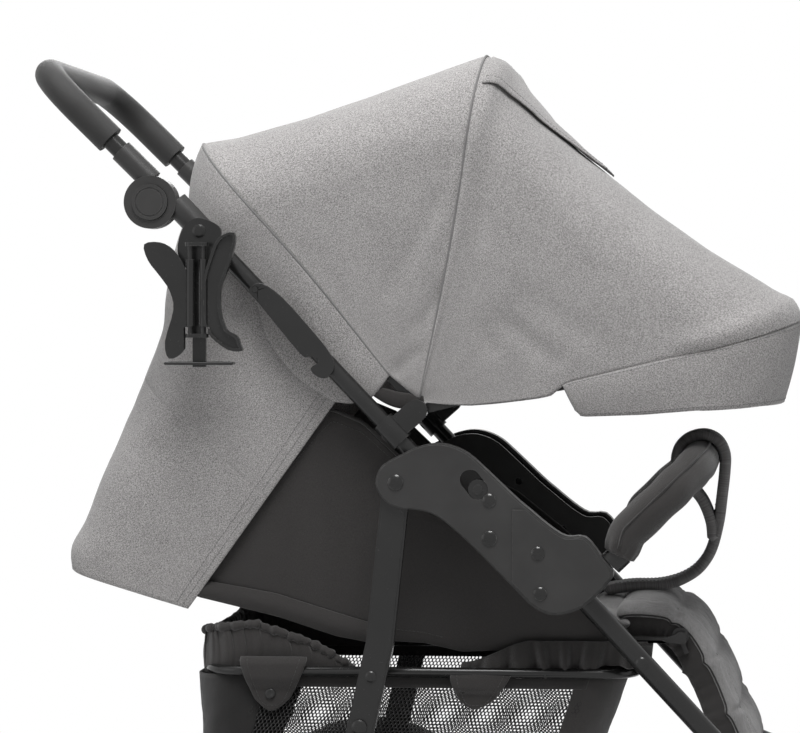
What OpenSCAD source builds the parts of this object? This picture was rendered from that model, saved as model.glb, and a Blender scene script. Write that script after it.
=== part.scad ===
// Jogging stroller with a folding tube frame, a reclining seat, a hood and a basket.
// Outlines are drawn from the side: x runs forward, z up from the floor, in millimetres.
// The stroller faces +X, its right side is at -Y, and it is moved last so that
// its origin lies on the floor under the middle of its outline.

/* [Frame tubes] */
// Half the distance between the left and right tube planes
arm_y = 212; // [206:1:230]
// Diameter of the upper frame tube
upper_tube_d = 18; // [15:0.5:19]
// Diameter of the front leg tube
front_leg_d = 22; // [18:0.5:22]
// Width of the flat oval rear leg, seen from the side
rear_leg_w = 29; // [24:1:34]
// Thickness of the flat oval rear leg
rear_leg_t = 15; // [10:0.5:16]
// Length of the upper tube from its fold pivot to the handle sleeve
upper_tube_len = 488; // [440:1:520]
// Height of the fold pivot above the floor
fold_pivot_z = 543; // [500:1:600]
// Slope of the upper frame above the horizontal
upper_slope = 46.3; // [42:0.1:50]
// Slope of the front legs below the horizontal
leg_slope = 47.2; // [44:0.1:50]

/* [Handle] */
// Radius of the round handle hub
hub_r = 28; // [24:0.5:30]
// Reach of the handle from its hub axis to the cross bar
handle_reach = 184; // [150:1:200]
// Diameter of the handle tube
handle_tube_d = 20; // [16:0.5:22]
// Diameter of the foam grip
grip_d = 32; // [28:0.5:36]
// Bend radius of the handle's corners
handle_bend_r = 62; // [45:1:90]

/* [Hood] */
// Length of the hood's rear bow from its pivot
rear_bow_len = 354; // [335:1:366]
// Length of the hood's middle bow
mid_bow_len = 378; // [374:1:390]
// Length of the hood's front bow
front_bow_len = 414; // [400:1:430]
// Corner radius of the bows
bow_corner_r = 100; // [70:1:130]
// Width of the flat bow strip
bow_w = 11; // [8:0.5:14]
// Thickness of the hood's cloth
cloth_t = 1.6; // [1:0.1:1.8]
// Depth of the brim at its front
brim_depth = 84; // [60:1:100]

/* [Seat] */
// Half width of the seat and backrest cushions
seat_half_w = 160; // [140:1:161]
// Length of the backrest from its hinge
back_len = 410; // [380:1:414]
// Rest angle of the reclined backrest above the horizontal
back_slope = 13; // [12:0.5:16]
// Thickness of the cushions
pad_t = 26; // [18:1:30]
// Length of the leg rest
legrest_len = 150; // [120:1:160]

/* [Basket] */
// Half the distance between the basket ring's side tubes
ring_y = 187; // [175:1:187]
// Diameter of the basket ring tube
ring_d = 11; // [8:0.5:11]
// Depth of the basket below its ring
basket_depth = 158; // [120:1:165]

/* [Wheels] */
// Radius of the rear wheels
rear_wheel_r = 150; // [135:1:152]
// Radius of the front wheel
front_wheel_r = 125; // [110:1:127]
// Width of the tyres
tyre_w = 44; // [36:1:46]
// Radius of the wheel axles
axle_r = 6; // [5:0.5:7]
// Depth of the flat where a loaded tyre meets the floor
tyre_flat = 1.2; // [0.8:0.1:2]
// Distance of the front axle behind the swivel axis
trail = 36; // [25:1:45]

/* [Clearances] */
// Radial running clearance of a pin in its bore
run = 0.05; // [0.02:0.01:0.09]
// Gap between pieces that lie against each other
gap = 0.3; // [0.2:0.05:0.4]

/* [Hidden] */
$fn = 48;

// Layers outward from the middle plane
tube_in = arm_y - front_leg_d/2;
tube_out = arm_y + front_leg_d/2;
leg_in = tube_out + 3;
leg_out = leg_in + rear_leg_t;
cover_wall = 6;
cover_in = leg_out + 2;
cover_out = cover_in + cover_wall;
wheel_in = cover_out + 7;
wheel_y = wheel_in + tyre_w/2;
shell_out = tube_in - 0.5;
shell_in = shell_out - 5.5;
bow_t = 2.2;
front_bow_y = arm_y - upper_tube_d/2 - cloth_t - 1;
mid_bow_y = front_bow_y - bow_t - gap;
rear_bow_y = mid_bow_y - bow_t - gap;

// Pivots, as [x, z]
fold_pivot = [100, fold_pivot_z];
rear_pivot = fold_pivot + [-98, 58];
along_tube = [-cos(upper_slope), sin(upper_slope)];
across_tube = [sin(upper_slope), cos(upper_slope)];
hub_along = upper_tube_len + 16;
hub = fold_pivot + along_tube*hub_along - across_tube*18;
handle_slope = 44.5;
canopy_pivot = fold_pivot + [-80, 132];
leg_top = fold_pivot + [0, 39.6];
leg_dir = [cos(leg_slope), -sin(leg_slope)];
leg_knee = leg_top + leg_dir*402;
back_hinge = fold_pivot + [-38, -107];
legrest_hinge = fold_pivot + [196, -108];
ring_pivot = rear_pivot + [-27, -204];
rear_axle_at = [rear_pivot[0] - 81, rear_wheel_r - tyre_flat];
steer_x = fold_pivot[0] + 456;
front_axle_at = [steer_x - trail, front_wheel_r - tyre_flat];
slot_low = fold_pivot + [-12, 51];
slot_high = slot_low + [-8, 10];
hook_pivot = fold_pivot + along_tube*(upper_tube_len - 123);
cup_pivot = fold_pivot + along_tube*(upper_tube_len - 44);

// Rest angles of the hood's bows about their pivot
rear_bow_angle = 128.4;
mid_bow_angle = 78.5;
front_bow_angle = 13.5;

// The origin lies under the middle of the outline
handle_foot = hub + [sin(handle_slope), cos(handle_slope)]*16;
handle_back = handle_foot[0] - handle_reach*cos(handle_slope) - grip_d/2;
front_end = front_axle_at[0] + front_wheel_r;
x_mid = (handle_back + front_end)/2;

// ---------- shared shapes ----------

// Puts everything into the part's frame
module placed() { translate([-x_mid, 0, 0]) children(); }

// Extrudes a side outline from y0 to y1
module side(y0, y1) { rotate([90, 0, 0]) translate([0, 0, -y1]) linear_extrude(y1 - y0) children(); }

// The left side is +Y; the right side is its mirror image
module on_side(s) { if (s < 0) mirror([0, 1, 0]) children(); else children(); }

// Pin or bore across the stroller at side point p
module cross_pin(p, r, y0, y1) {
    translate([p[0], y1, p[1]]) rotate([90, 0, 0]) cylinder(h = y1 - y0, r = r);
}

// Round rod between two points
module rod(a, b, d) {
    v = b - a;
    translate(a) rotate([0, acos(v[2]/norm(v)), atan2(v[1], v[0])]) cylinder(h = norm(v), d = d);
}

// Rivet with a low domed head that faces +Y
module rivet_head(p, r, y, h) {
    translate([p[0], y, p[1]]) rotate([-90, 0, 0]) rotate_extrude()
        polygon([[0, 0], [r, 0], [r, h*0.45], [r*0.72, h*0.85], [r*0.3, h], [0, h]]);
}

// Closed smooth curve through the points
function spline(p0, p1, p2, p3, t) =
    0.5*(2*p1 + (p2 - p0)*t + (2*p0 - 5*p1 + 4*p2 - p3)*t*t + (3*p1 - p0 - 3*p2 + p3)*t*t*t);
function smooth(p, n) = let (m = len(p)) [for (i = [0:m - 1]) for (k = [0:n - 1])
    spline(p[(i + m - 1) % m], p[i], p[(i + 1) % m], p[(i + 2) % m], k/n)];

// Polyline sampling: point at share t of the list, straight between its points
function along(p, t) = let (u = min(max(t, 0), 0.99999)*(len(p) - 1), i = floor(u))
    p[i] + (p[i + 1] - p[i])*(u - i);
function mix(a, b, t) = a + (b - a)*t;

// Grid of points from a function of two shares, and the same grid moved along its normals
function grid(n, m, f) = [for (i = [0:n]) [for (j = [0:m]) f(i/n, j/m)]];
function grid_normal(g, i, j) = let (
    n = len(g) - 1, m = len(g[0]) - 1,
    a = g[min(i + 1, n)][j] - g[max(i - 1, 0)][j],
    b = g[i][min(j + 1, m)] - g[i][max(j - 1, 0)],
    c = cross(a, b)) c/max(norm(c), 0.0001);
function offset_grid(g, d) = [for (i = [0:len(g) - 1]) [for (j = [0:len(g[0]) - 1])
    g[i][j] + grid_normal(g, i, j)*d]];

// Closed solid between two grids of the same size
module between(p, q) {
    n = len(p) - 1;
    m = len(p[0]) - 1;
    w = m + 1;
    all = concat([for (r = p) for (c = r) c], [for (r = q) for (c = r) c]);
    o = (n + 1)*w;
    top = [for (i = [0:n - 1]) for (j = [0:m - 1])
        each [[i*w + j, i*w + j + 1, (i + 1)*w + j + 1], [i*w + j, (i + 1)*w + j + 1, (i + 1)*w + j]]];
    bottom = [for (f = top) [f[2] + o, f[1] + o, f[0] + o]];
    rim = concat(
        [for (j = [0:m - 1]) [j, j + 1]],
        [for (i = [0:n - 1]) [i*w + m, (i + 1)*w + m]],
        [for (j = [m:-1:1]) [n*w + j, n*w + j - 1]],
        [for (i = [n:-1:1]) [i*w, (i - 1)*w]]);
    wall = [for (e = rim) each [[e[1], e[0], e[0] + o], [e[1], e[0] + o, e[1] + o]]];
    polyhedron(points = all, faces = concat(top, bottom, wall));
}

// ---------- side plates ----------

// Outline of the moulded side plate, as places beside the fold pivot
cover_outline = [
    [-119, 61], [-112, 76], [-89, 89], [-73, 96], [-55, 99], [-38, 96], [-22, 88], [-6, 74],
    [12, 57], [29, 41], [41, 31], [63, 13], [80, 3], [100, 2], [116, -17], [129, -34],
    [124, -46], [112, -59], [94, -73], [74, -79], [59, -78], [43, -69], [23, -49], [6, -32],
    [-18, -8], [-38, 10], [-55, 23], [-73, 29], [-94, 31], [-108, 37], [-117, 49]
];
function shrunk(p, d) = let (m = len(p)) [for (i = [0:m - 1])
    let (v = p[(i + 1) % m] - p[(i + m - 1) % m]) p[i] + [v[1], -v[0]]/norm(v)*d];

module cover_shape(inset) {
    translate(fold_pivot) polygon(smooth(shrunk(cover_outline, inset), 3));
}

// Round-ended slot in which the fold lock slides
module slot_shape(r) {
    hull() {
        translate(slot_low) circle(r = r);
        translate(slot_high) circle(r = r);
    }
}

plate_bolts = [leg_top + leg_dir*74.5, fold_pivot + [53, -57]];
module side_cover(s) {
    rim_t = 3;
    color([0.13, 0.13, 0.13]) placed() on_side(s) difference() {
        union() {
            side(cover_in, cover_out - 1.5) cover_shape(0);
            side(cover_out - 1.5, cover_out) cover_shape(1.6);
            // The rim stands inward over the tubes, open where the rear leg comes out
            difference() {
                side(leg_in - 1, cover_in) cover_shape(0);
                side(leg_in - 2, cover_in + 1) cover_shape(rim_t);
                side(leg_in - 2, cover_in + 1) translate(rear_pivot + [-60, -90]) square([110, 91]);
            }
            // Raised front housing over the leg joint
            side(cover_out, cover_out + 2) intersection() {
                cover_shape(3);
                translate(fold_pivot + [24, -120]) square([110, 150]);
            }
        }
        side(leg_in - 2, cover_out + 3) slot_shape(10.6);
        cross_pin(rear_pivot, 5, cover_in - 1, cover_out + 1);
        cross_pin(fold_pivot, 5, cover_in - 1, cover_out + 1);
        for (p = plate_bolts) cross_pin(p, 4, cover_in - 1, cover_out + 3);
        cross_pin(leg_top, 4, cover_in - 1, cover_out + 1);
    }
}

module inner_shell(s) {
    color([0.12, 0.12, 0.12]) placed() on_side(s) difference() {
        side(shell_in, shell_out) cover_shape(4);
        side(shell_in + 2, shell_out + 1) cover_shape(9);
        cross_pin(fold_pivot, 5, shell_in - 1, shell_out + 1);
        cross_pin(leg_top, 4, shell_in - 1, shell_out + 1);
        for (p = plate_bolts) cross_pin(p, 4, shell_in - 1, shell_out + 1);
    }
}

module plate_rivets() {
    color([0.2, 0.2, 0.2]) placed() for (s = [-1, 1]) on_side(s) {
        // Fold pivot and front leg rivets run from the inner shell to the cover
        cross_pin(fold_pivot, 5, shell_in, cover_out);
        rivet_head(fold_pivot, 8, cover_out, 3);
        cross_pin(leg_top, 4, shell_in, cover_out);
        rivet_head(leg_top, 7, cover_out, 3);
        for (p = plate_bolts) {
            cross_pin(p, 4, shell_in, cover_out + 2);
            rivet_head(p, 7, cover_out + 2, 3);
        }
        // The rear leg hangs from the cover alone, clear of the swinging upper tube
        cross_pin(rear_pivot, 5, leg_in - 0.3, cover_out);
        cross_pin(rear_pivot, 8, leg_in - 2.5, leg_in - 0.3);
        rivet_head(rear_pivot, 8, cover_out, 3);
    }
}

// Both lock buttons slide along their slots and hold the frame open
module fold_lock() {
    color([0.05, 0.05, 0.05]) placed() for (s = [-1, 1]) on_side(s) {
        cross_pin(slot_low, 10.6 - gap, leg_in, cover_out - 2);
        cross_pin(slot_low, 5, cover_out - 2, cover_out - 0.5);
    }
}

// ---------- front frame ----------

// Leg points: top, straight run, then a sweep inward to the fork head
head_x = steer_x - 34;
head_z = 2*front_wheel_r + 44;
function leg_points() = [
    [leg_top[0] - 8*leg_dir[0], arm_y, leg_top[1] - 8*leg_dir[1]],
    [leg_knee[0], arm_y, leg_knee[1]],
    [leg_knee[0] + 24, arm_y - 12, leg_knee[1] - 8],
    [head_x, 26, head_z]
];

module leg_tube(extra) {
    p = leg_points();
    for (i = [0:len(p) - 2]) rod(p[i], p[i + 1], front_leg_d + extra);
    for (i = [1:len(p) - 2]) translate(p[i]) sphere(d = front_leg_d + extra);
}

module front_leg(s) {
    color([0.04, 0.04, 0.04]) placed() on_side(s) difference() {
        leg_tube(0);
        cross_pin(leg_top, 4, tube_in - 1, tube_out + 1);
        for (p = plate_bolts) cross_pin(p, 4, tube_in - 1, tube_out + 1);
        // Rivet that holds the seat bracket
        cross_pin(leg_top + leg_dir*232.5, 3, tube_in - 1, tube_in + 6);
    }
    color([0.2, 0.2, 0.2]) placed() on_side(s) rivet_head(leg_top + leg_dir*232.5, 6.5, tube_out - 0.6, 3);
}

stem_r = 9;
module fork_head() {
    color([0.12, 0.12, 0.12]) placed() difference() {
        union() {
            // Head barrel
            translate([steer_x, 0, 2*front_wheel_r + 12]) cylinder(h = 66, r = 26);
            // Sockets for the two legs
            translate([head_x - 12, -44, head_z - 19]) cube([36, 88, 38]);
            // Ribbed foot step in front of the leg rest
            translate([head_x - 26, -70, head_z + 14]) cube([40, 140, 5]);
            for (k = [-3:3]) translate([head_x - 24, k*20 - 2, head_z + 19]) cube([36, 4, 2]);
        }
        translate([steer_x, 0, 2*front_wheel_r]) cylinder(h = 90, r = stem_r + run);
        for (s = [-1, 1]) on_side(s) leg_tube(0.1);
        // Hole of the swivel lock
        translate([steer_x - 18, 0, 2*front_wheel_r]) cylinder(h = 90, r = 3 + run);
    }
}

module front_fork() {
    crown_z = 2*front_wheel_r + 4;
    color([0.12, 0.12, 0.12]) placed() difference() {
        union() {
            translate([steer_x, 0, crown_z]) cylinder(h = 8, r = 28);
            translate([steer_x, 0, crown_z]) cylinder(h = 84, r = stem_r);
            translate([steer_x, 0, crown_z + 74.4]) cylinder(h = 9.6, r = stem_r + 1.5);
            for (s = [-1, 1]) on_side(s) {
                translate([steer_x - 26, 0, crown_z]) cube([52, tyre_w/2 + 12, 8]);
                side(tyre_w/2 + 4, tyre_w/2 + 12) polygon([
                    [steer_x - 26, crown_z + 8], [steer_x + 26, crown_z + 8],
                    [front_axle_at[0] + 16, front_axle_at[1] - 6],
                    [front_axle_at[0] + 9, front_axle_at[1] - 15],
                    [front_axle_at[0] - 9, front_axle_at[1] - 15],
                    [front_axle_at[0] - 16, front_axle_at[1] - 2]
                ]);
            }
        }
        // Four holes let the lock pin in at each quarter turn
        for (a = [0:90:270]) translate([steer_x, 0, 0]) rotate([0, 0, a])
            translate([-18, 0, crown_z - 1]) cylinder(h = 12, r = 3.4);
    }
    color([0.6, 0.6, 0.6]) placed() cross_pin(front_axle_at, axle_r, -tyre_w/2 - 14, tyre_w/2 + 14);
}

module swivel_knob() {
    z = 2*front_wheel_r + 13;
    color([0.3, 0.3, 0.3]) placed() translate([steer_x - 18, 0, 0]) {
        translate([0, 0, z]) cylinder(h = 76, r = 3);
        translate([0, 0, z + 76]) cylinder(h = 6, r = 6);
    }
}

// ---------- wheels ----------

// Tyre with a round tread and shallow blocks, around the Y axis
module tyre(p, r, y) {
    color([0.05, 0.05, 0.05]) placed() translate([p[0], y, p[1]]) rotate([90, 0, 0]) difference() {
        rotate_extrude($fn = 96) polygon([for (a = [0:20:340])
            [r - tyre_w*0.5 + tyre_w*0.5*cos(a), tyre_w*0.5*sin(a)]]);
        for (k = [0:35]) rotate([0, 0, k*10 + 5]) translate([r - 2, -1.5, -12]) cube([6, 3, 24]);
        // Contact patch on the floor
        translate([-tyre_w, -r - tyre_w, -tyre_w]) cube([2*tyre_w, tyre_w + tyre_flat, 2*tyre_w]);
    }
}

// Spoked rim with a hub, brake notches on its inner face and an axle bore
module rim(p, r, y, notches) {
    bed = r - tyre_w - 0.2;
    color([0.16, 0.16, 0.16]) placed() translate([p[0], y, p[1]]) rotate([90, 0, 0]) difference() {
        union() {
            rotate_extrude($fn = 96) polygon([
                [bed - 10, -14], [bed - 1, -16], [bed, -8], [bed, 8], [bed - 1, 16], [bed - 10, 14]]);
            cylinder(h = tyre_w - 2, r = 26, center = true);
            for (k = [0:4]) rotate([0, 0, k*72]) translate([20, -9, -7]) cube([bed - 26, 18, 14]);
        }
        cylinder(h = tyre_w + 4, r = axle_r + run, center = true);
        if (notches) for (k = [0:11]) rotate([0, 0, k*30])
            translate([19, 0, 0]) cylinder(h = tyre_w + 4, r = 3.6, center = true);
    }
}

// ---------- rear frame ----------

leg_bend = rear_pivot + [-18, -170];
module rear_leg_shape(w) {
    hull() {
        translate(rear_pivot) circle(d = w);
        translate(leg_bend) circle(d = w);
    }
    hull() {
        translate(leg_bend) circle(d = w);
        translate(rear_axle_at) circle(d = w);
    }
}

module rear_leg(s) {
    stud = rear_pivot + [-39, -257];
    color([0.04, 0.04, 0.04]) placed() on_side(s) difference() {
        union() {
            side(leg_in + 1.5, leg_out - 1.5) rear_leg_shape(rear_leg_w);
            side(leg_in, leg_out) rear_leg_shape(rear_leg_w - 5);
            cross_pin(rear_axle_at, 20, leg_in - 6, leg_out + 4);
        }
        cross_pin(rear_pivot, 5 + run, leg_in - 1, leg_out + 1);
        cross_pin(ring_pivot, 3, leg_in - 1, leg_out + 1);
        cross_pin(rear_axle_at, axle_r + 2, leg_in - 7, leg_out + 5);
        cross_pin(rear_axle_at + [0, 19], 4, leg_in - 7, leg_out + 5);
        cross_pin(stud, 4, leg_in - 1, leg_out + 1);
    }
    // Rivet of the basket ring and the ringed stud for the storage hook
    color([0.2, 0.2, 0.2]) placed() on_side(s) {
        cross_pin(ring_pivot, 3, ring_y + ring_d/2 - 8, leg_out);
        rivet_head(ring_pivot, 6, leg_out, 3);
        cross_pin(stud, 4, leg_in + 2, leg_out + 2);
        rivet_head(stud, 8, leg_out + 2, 3);
    }
}

module rear_axle() {
    color([0.35, 0.35, 0.35]) placed() {
        cross_pin(rear_axle_at, axle_r + 2, -leg_out - 5, leg_out + 5);
        cross_pin(rear_axle_at, axle_r, -wheel_in - tyre_w - 2, wheel_in + tyre_w + 2);
        for (s = [-1, 1]) on_side(s) {
            cross_pin(rear_axle_at, 11, wheel_in + tyre_w - 1 + gap, wheel_in + tyre_w + 4);
        }
    }
}

// Foot pedal that turns on the axle tube and drives both brake pins
module brake_pedal() {
    color([0.5, 0.1, 0.1]) placed() difference() {
        union() {
            cross_pin(rear_axle_at, 14, -60, 60);
            translate([rear_axle_at[0] - 70, -34, rear_axle_at[1] + 4]) cube([62, 68, 6]);
            for (k = [0:4]) translate([rear_axle_at[0] - 66 + k*9, -30, rear_axle_at[1] + 10])
                cube([3, 60, 2]);
        }
        cross_pin(rear_axle_at, axle_r + 2 + run, -61, 61);
    }
}

// Sprung pin that slides out of the leg boss into a notch of the rim
module brake_pin(s) {
    color([0.6, 0.6, 0.6]) placed() on_side(s)
        cross_pin(rear_axle_at + [0, 19], 3, leg_in - 4, wheel_in - gap);
}

// ---------- basket ----------

ring_back = ring_pivot[0] - 182;
ring_front = ring_pivot[0] + 274;
ring_bend = 40;
module basket_ring() {
    x0 = ring_back + ring_bend;
    x1 = ring_front - ring_bend;
    z = ring_pivot[1];
    color([0.04, 0.04, 0.04]) placed() difference() {
        union() {
            for (s = [-1, 1]) {
                rod([x0, s*ring_y, z], [x1, s*ring_y, z], ring_d);
                for (e = [[x0, 180], [x1, 0]]) translate([e[0], s*(ring_y - ring_bend), z])
                    mirror([0, s < 0 ? 1 : 0, 0]) rotate([0, 0, e[1] == 0 ? 0 : 90])
                    rotate_extrude(angle = 90) translate([ring_bend, 0]) circle(d = ring_d);
            }
            rod([ring_back, -ring_y + ring_bend, z], [ring_back, ring_y - ring_bend, z], ring_d);
            rod([ring_front, -ring_y + ring_bend, z], [ring_front, ring_y - ring_bend, z], ring_d);
        }
        for (s = [-1, 1]) on_side(s) cross_pin(ring_pivot, 3 + run, ring_y - ring_d, ring_y + ring_d);
    }
}

// Basket hung under the ring: open side nets, cloth ends round the corners, and a floor
bag_t = 1.2;
bag_top = ring_pivot[1] - ring_d/2 - gap;
bag_low = ring_pivot[1] - basket_depth;
bag_lean = 20;
module side_net() {
    cell = 17;
    x0 = ring_back + ring_bend;
    x1 = ring_front - ring_bend;
    side(ring_y - bag_t, ring_y) difference() {
        polygon([[x0, bag_top], [x1, bag_top], [x1 - bag_lean, bag_low], [x0, bag_low]]);
        intersection() {
            translate([x0 + 14, bag_low + 16]) square([x1 - x0 - 28 - bag_lean, bag_top - bag_low - 34]);
            union() for (i = [0:19]) for (j = [0:6])
                translate([x0 + 26 + (i + (j % 2)/2)*cell, bag_low + 26 + j*cell])
                rotate([0, 0, 45]) square(cell*0.6, center = true);
        }
    }
}

// Cloth end: share u runs round both corners, share v runs down; lean pulls the foot inward
module bag_end(x_ring, dir, lean) {
    a = 90*ring_bend*PI/180;
    c = ring_y - ring_bend;
    f = function(u, v) let (
        d = (u - 0.5)*2*(a + c), m = max(abs(d) - c, 0)/ring_bend*180/PI,
        x = x_ring - dir*(ring_bend*(1 - cos(m)) + lean*v),
        y = (d < 0 ? -1 : 1)*(min(abs(d), c) + ring_bend*sin(m)))
        [x, y, mix(bag_top, bag_low, v)];
    g = grid(36, 3, f);
    between(offset_grid(g, dir*bag_t), g);
}
module basket_bag() {
    color([0.08, 0.08, 0.08]) placed() {
        for (s = [-1, 1]) on_side(s) side_net();
        bag_end(ring_front - bag_t - gap, 1, bag_lean);
        mirror([1, 0, 0]) bag_end(-ring_back - bag_t - gap, 1, 0);
        translate([ring_back + 6, -ring_y + 4, bag_low - bag_t - gap])
            cube([ring_front - ring_back - 12 - bag_lean, 2*ring_y - 8, bag_t]);
    }
}

// ---------- seat ----------

base_t = 6;
module seat_base() {
    color([0.1, 0.1, 0.1]) placed() {
        translate([back_hinge[0] + 14, -seat_half_w - 4, back_hinge[1] - 8])
            cube([legrest_hinge[0] - back_hinge[0] - 26, 2*seat_half_w + 8, base_t]);
        // Hinge rods for the backrest and the leg rest
        for (s = [-1, 1]) on_side(s) {
            cross_pin(back_hinge, 5, seat_half_w - 20, seat_half_w + 4);
            cross_pin(legrest_hinge, 5, seat_half_w - 20, seat_half_w + 4);
            side(seat_half_w - 2, seat_half_w + 4) polygon([
                back_hinge + [-7, -6], back_hinge + [14, -8], back_hinge + [14, 0],
                back_hinge + [5, 7], back_hinge + [-7, 5]]);
            side(seat_half_w - 2, seat_half_w + 4) polygon([
                legrest_hinge + [-12, -7], legrest_hinge + [6, -7],
                legrest_hinge + [7, 5], legrest_hinge + [-12, 0]]);
            // Brackets that carry the seat on the front legs
            side(seat_half_w + 4, tube_in) polygon([
                [fold_pivot[0] + 138, back_hinge[1] - 8], [fold_pivot[0] + 168, back_hinge[1] - 8],
                leg_top + leg_dir*232.5 + [8, -3], leg_top + leg_dir*232.5 + [-14, -3]]);
        }
    }
}

// Cushion top: a crown over the width with channels across, sides drawn in
function crown(v) = 1 - pow(abs(2*v - 1), 4);
function channel(u, n) = 1 - 0.32*pow(abs(cos(180*u*n)), 6);
module cushion(len_x, half_w, t, n) {
    top = function(u, v) [
        len_x*u, (2*v - 1)*(half_w - 2*(1 - crown(v))),
        t*(0.35 + 0.65*crown(v)*channel(u, n)*(1 - pow(abs(2*u - 1), 8)))];
    low = function(u, v) [len_x*u, (2*v - 1)*half_w, 0];
    between(grid(n*6, 12, top), grid(n*6, 12, low));
}

module seat_pad() {
    color([0.58, 0.57, 0.57]) placed() translate([back_hinge[0] + 34, 0, back_hinge[1] - 8 + base_t + gap/4])
        cushion(legrest_hinge[0] - back_hinge[0] - 44, seat_half_w, pad_t + 8, 4);
}

// Everything on the backrest is drawn upright along +X from the hinge, then leaned back
module on_back() { translate([back_hinge[0], 0, back_hinge[1]]) rotate([0, 180 + back_slope, 0]) children(); }

module backrest_board() {
    color([0.1, 0.1, 0.1]) placed() on_back() mirror([0, 0, 1]) difference() {
        union() {
            translate([14, -seat_half_w + 4, -2]) cube([back_len - 14, 2*seat_half_w - 8, 5]);
            for (s = [-1, 1]) on_side(s) {
                cross_pin([0, 0], 9, seat_half_w - 20, seat_half_w - 4);
                translate([0, seat_half_w - 20, -2]) cube([20, 16, 5]);
            }
        }
        for (s = [-1, 1]) on_side(s) cross_pin([0, 0], 5 + run, seat_half_w - 30, seat_half_w + 10);
    }
}

module backrest_pad() {
    color([0.58, 0.57, 0.57]) placed() on_back() mirror([0, 0, 1]) translate([26, 0, 3.3])
        cushion(back_len - 42, seat_half_w, pad_t, 5);
}

// Two shoulder straps and the middle buckle lie on the backrest cushion
module harness() {
    color([0.1, 0.1, 0.1]) placed() on_back() mirror([0, 0, 1]) {
        for (s = [-1, 1]) on_side(s)
            translate([70, 34, 3.3 + pad_t + gap]) cube([250, 38, 3]);
        translate([60, -24, 2.2 + pad_t + gap]) cube([44, 48, 9]);
    }
}

module on_legrest() { translate([legrest_hinge[0], 0, legrest_hinge[1]]) rotate([0, 68, 0]) children(); }
module legrest_board() {
    color([0.1, 0.1, 0.1]) placed() on_legrest() difference() {
        union() {
            translate([12, -seat_half_w + 24, -3]) cube([legrest_len - 12, 2*seat_half_w - 48, 5]);
            for (s = [-1, 1]) on_side(s) {
                cross_pin([0, 0], 9, seat_half_w - 20, seat_half_w - 4);
                translate([0, seat_half_w - 40, -3]) cube([20, 36, 5]);
            }
        }
        for (s = [-1, 1]) on_side(s) cross_pin([0, 0], 5 + run, seat_half_w - 30, seat_half_w + 10);
    }
}

module legrest_pad() {
    color([0.5, 0.5, 0.5]) placed() on_legrest() translate([14, 0, 2.3])
        cushion(legrest_len - 10, seat_half_w - 12, pad_t + 6, 3);
}

// Cloth side between the seat, the reclined backrest and the frame
panel_y = seat_half_w + 4 + gap + cloth_t/2;
panel_swell = 0.6*(shell_in - 2 - panel_y - cloth_t/2);
module side_panel(s) {
    low = [[-226, 476], [-160, 460], [-114, 449], [-63, 434], [-34, 430], [24, 427], [65, 418],
        [106, 420], [148, 426], [190, 427], [228, 425]];
    high = [[-220, 490], [-180, 548], [-128, 612], [-74, 676], [-40, 662], [0, 624], [48, 596],
        [100, 570], [150, 530], [196, 488], [240, 440]];
    f = function(u, v) let (
        a = along(low, u), b = along(high, u),
        p = mix(a, b, v) + fold_pivot - [100, 543],
        y = panel_y + panel_swell*pow(v, 0.7)*min(1, 3*u)*min(1, 8*(1 - u)))
        [p[0], y, p[1]];
    g = grid(30, 8, f);
    color([0.2, 0.19, 0.19]) placed() on_side(s) between(offset_grid(g, cloth_t/2), offset_grid(g, -cloth_t/2));
}

// Cloth strap from the seat front up and round the bumper bar
module crotch_strap() {
    outer = [[234, 473.2], [267, 465.5], [300, 469], [325, 488], [339, 515], [347, 556], [351, 597],
        [348, 618], [341, 638], [328, 650]];
    f = function(u, v) let (p = along(outer, u) + fold_pivot - [100, 543])
        [p[0], (v - 0.5)*60, p[1]];
    g = grid(27, 4, f);
    color([0.22, 0.21, 0.21]) placed() between(offset_grid(g, 2.5), g);
}

// ---------- bumper bar ----------

bar_at = fold_pivot + [130, -22];
bar_slope = 44;
bar_reach = 128;
bar_y = cover_in - 8;
bar_bend = 70;
module bar_path(d) {
    // Straight arms, two bends and the cross piece, drawn in its own plane
    for (s = [-1, 1]) on_side(s) {
        rod([0, bar_y, 0], [bar_reach - bar_bend, bar_y, 0], d);
        translate([bar_reach - bar_bend, bar_y - bar_bend, 0]) rotate_extrude(angle = 90)
            translate([bar_bend, 0]) circle(d = d);
    }
    rod([bar_reach, -bar_y + bar_bend, 0], [bar_reach, bar_y - bar_bend, 0], d);
}
module on_bar() { translate([bar_at[0], 0, bar_at[1]]) rotate([0, -bar_slope, 0]) children(); }
module bumper_bar() {
    color([0.1, 0.1, 0.1]) placed() on_bar() {
        bar_path(14);
        for (s = [-1, 1]) on_side(s) rod([-6, bar_y, 0], [10, bar_y, 0], 26);
    }
}
module bumper_cover() {
    color([0.22, 0.21, 0.21]) placed() on_bar() difference() {
        bar_path(34);
        bar_path(14.4);
        for (s = [-1, 1]) on_side(s) translate([-30, bar_y - 30, -30]) cube([40.3, 60, 60]);
    }
}

// ---------- upper frame ----------

module upper_tube(s) {
    a = fold_pivot + along_tube*8;
    b = fold_pivot + along_tube*(upper_tube_len - 14);
    color([0.04, 0.04, 0.04]) placed() on_side(s) difference() {
        union() {
            rod([a[0], arm_y, a[1]], [b[0], arm_y, b[1]], upper_tube_d);
            cross_pin(fold_pivot, 12, arm_y - upper_tube_d/2 + 1, arm_y + upper_tube_d/2 - 1);
        }
        cross_pin(fold_pivot, 5 + run, tube_in - 1, tube_out + 1);
    }
}

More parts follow.
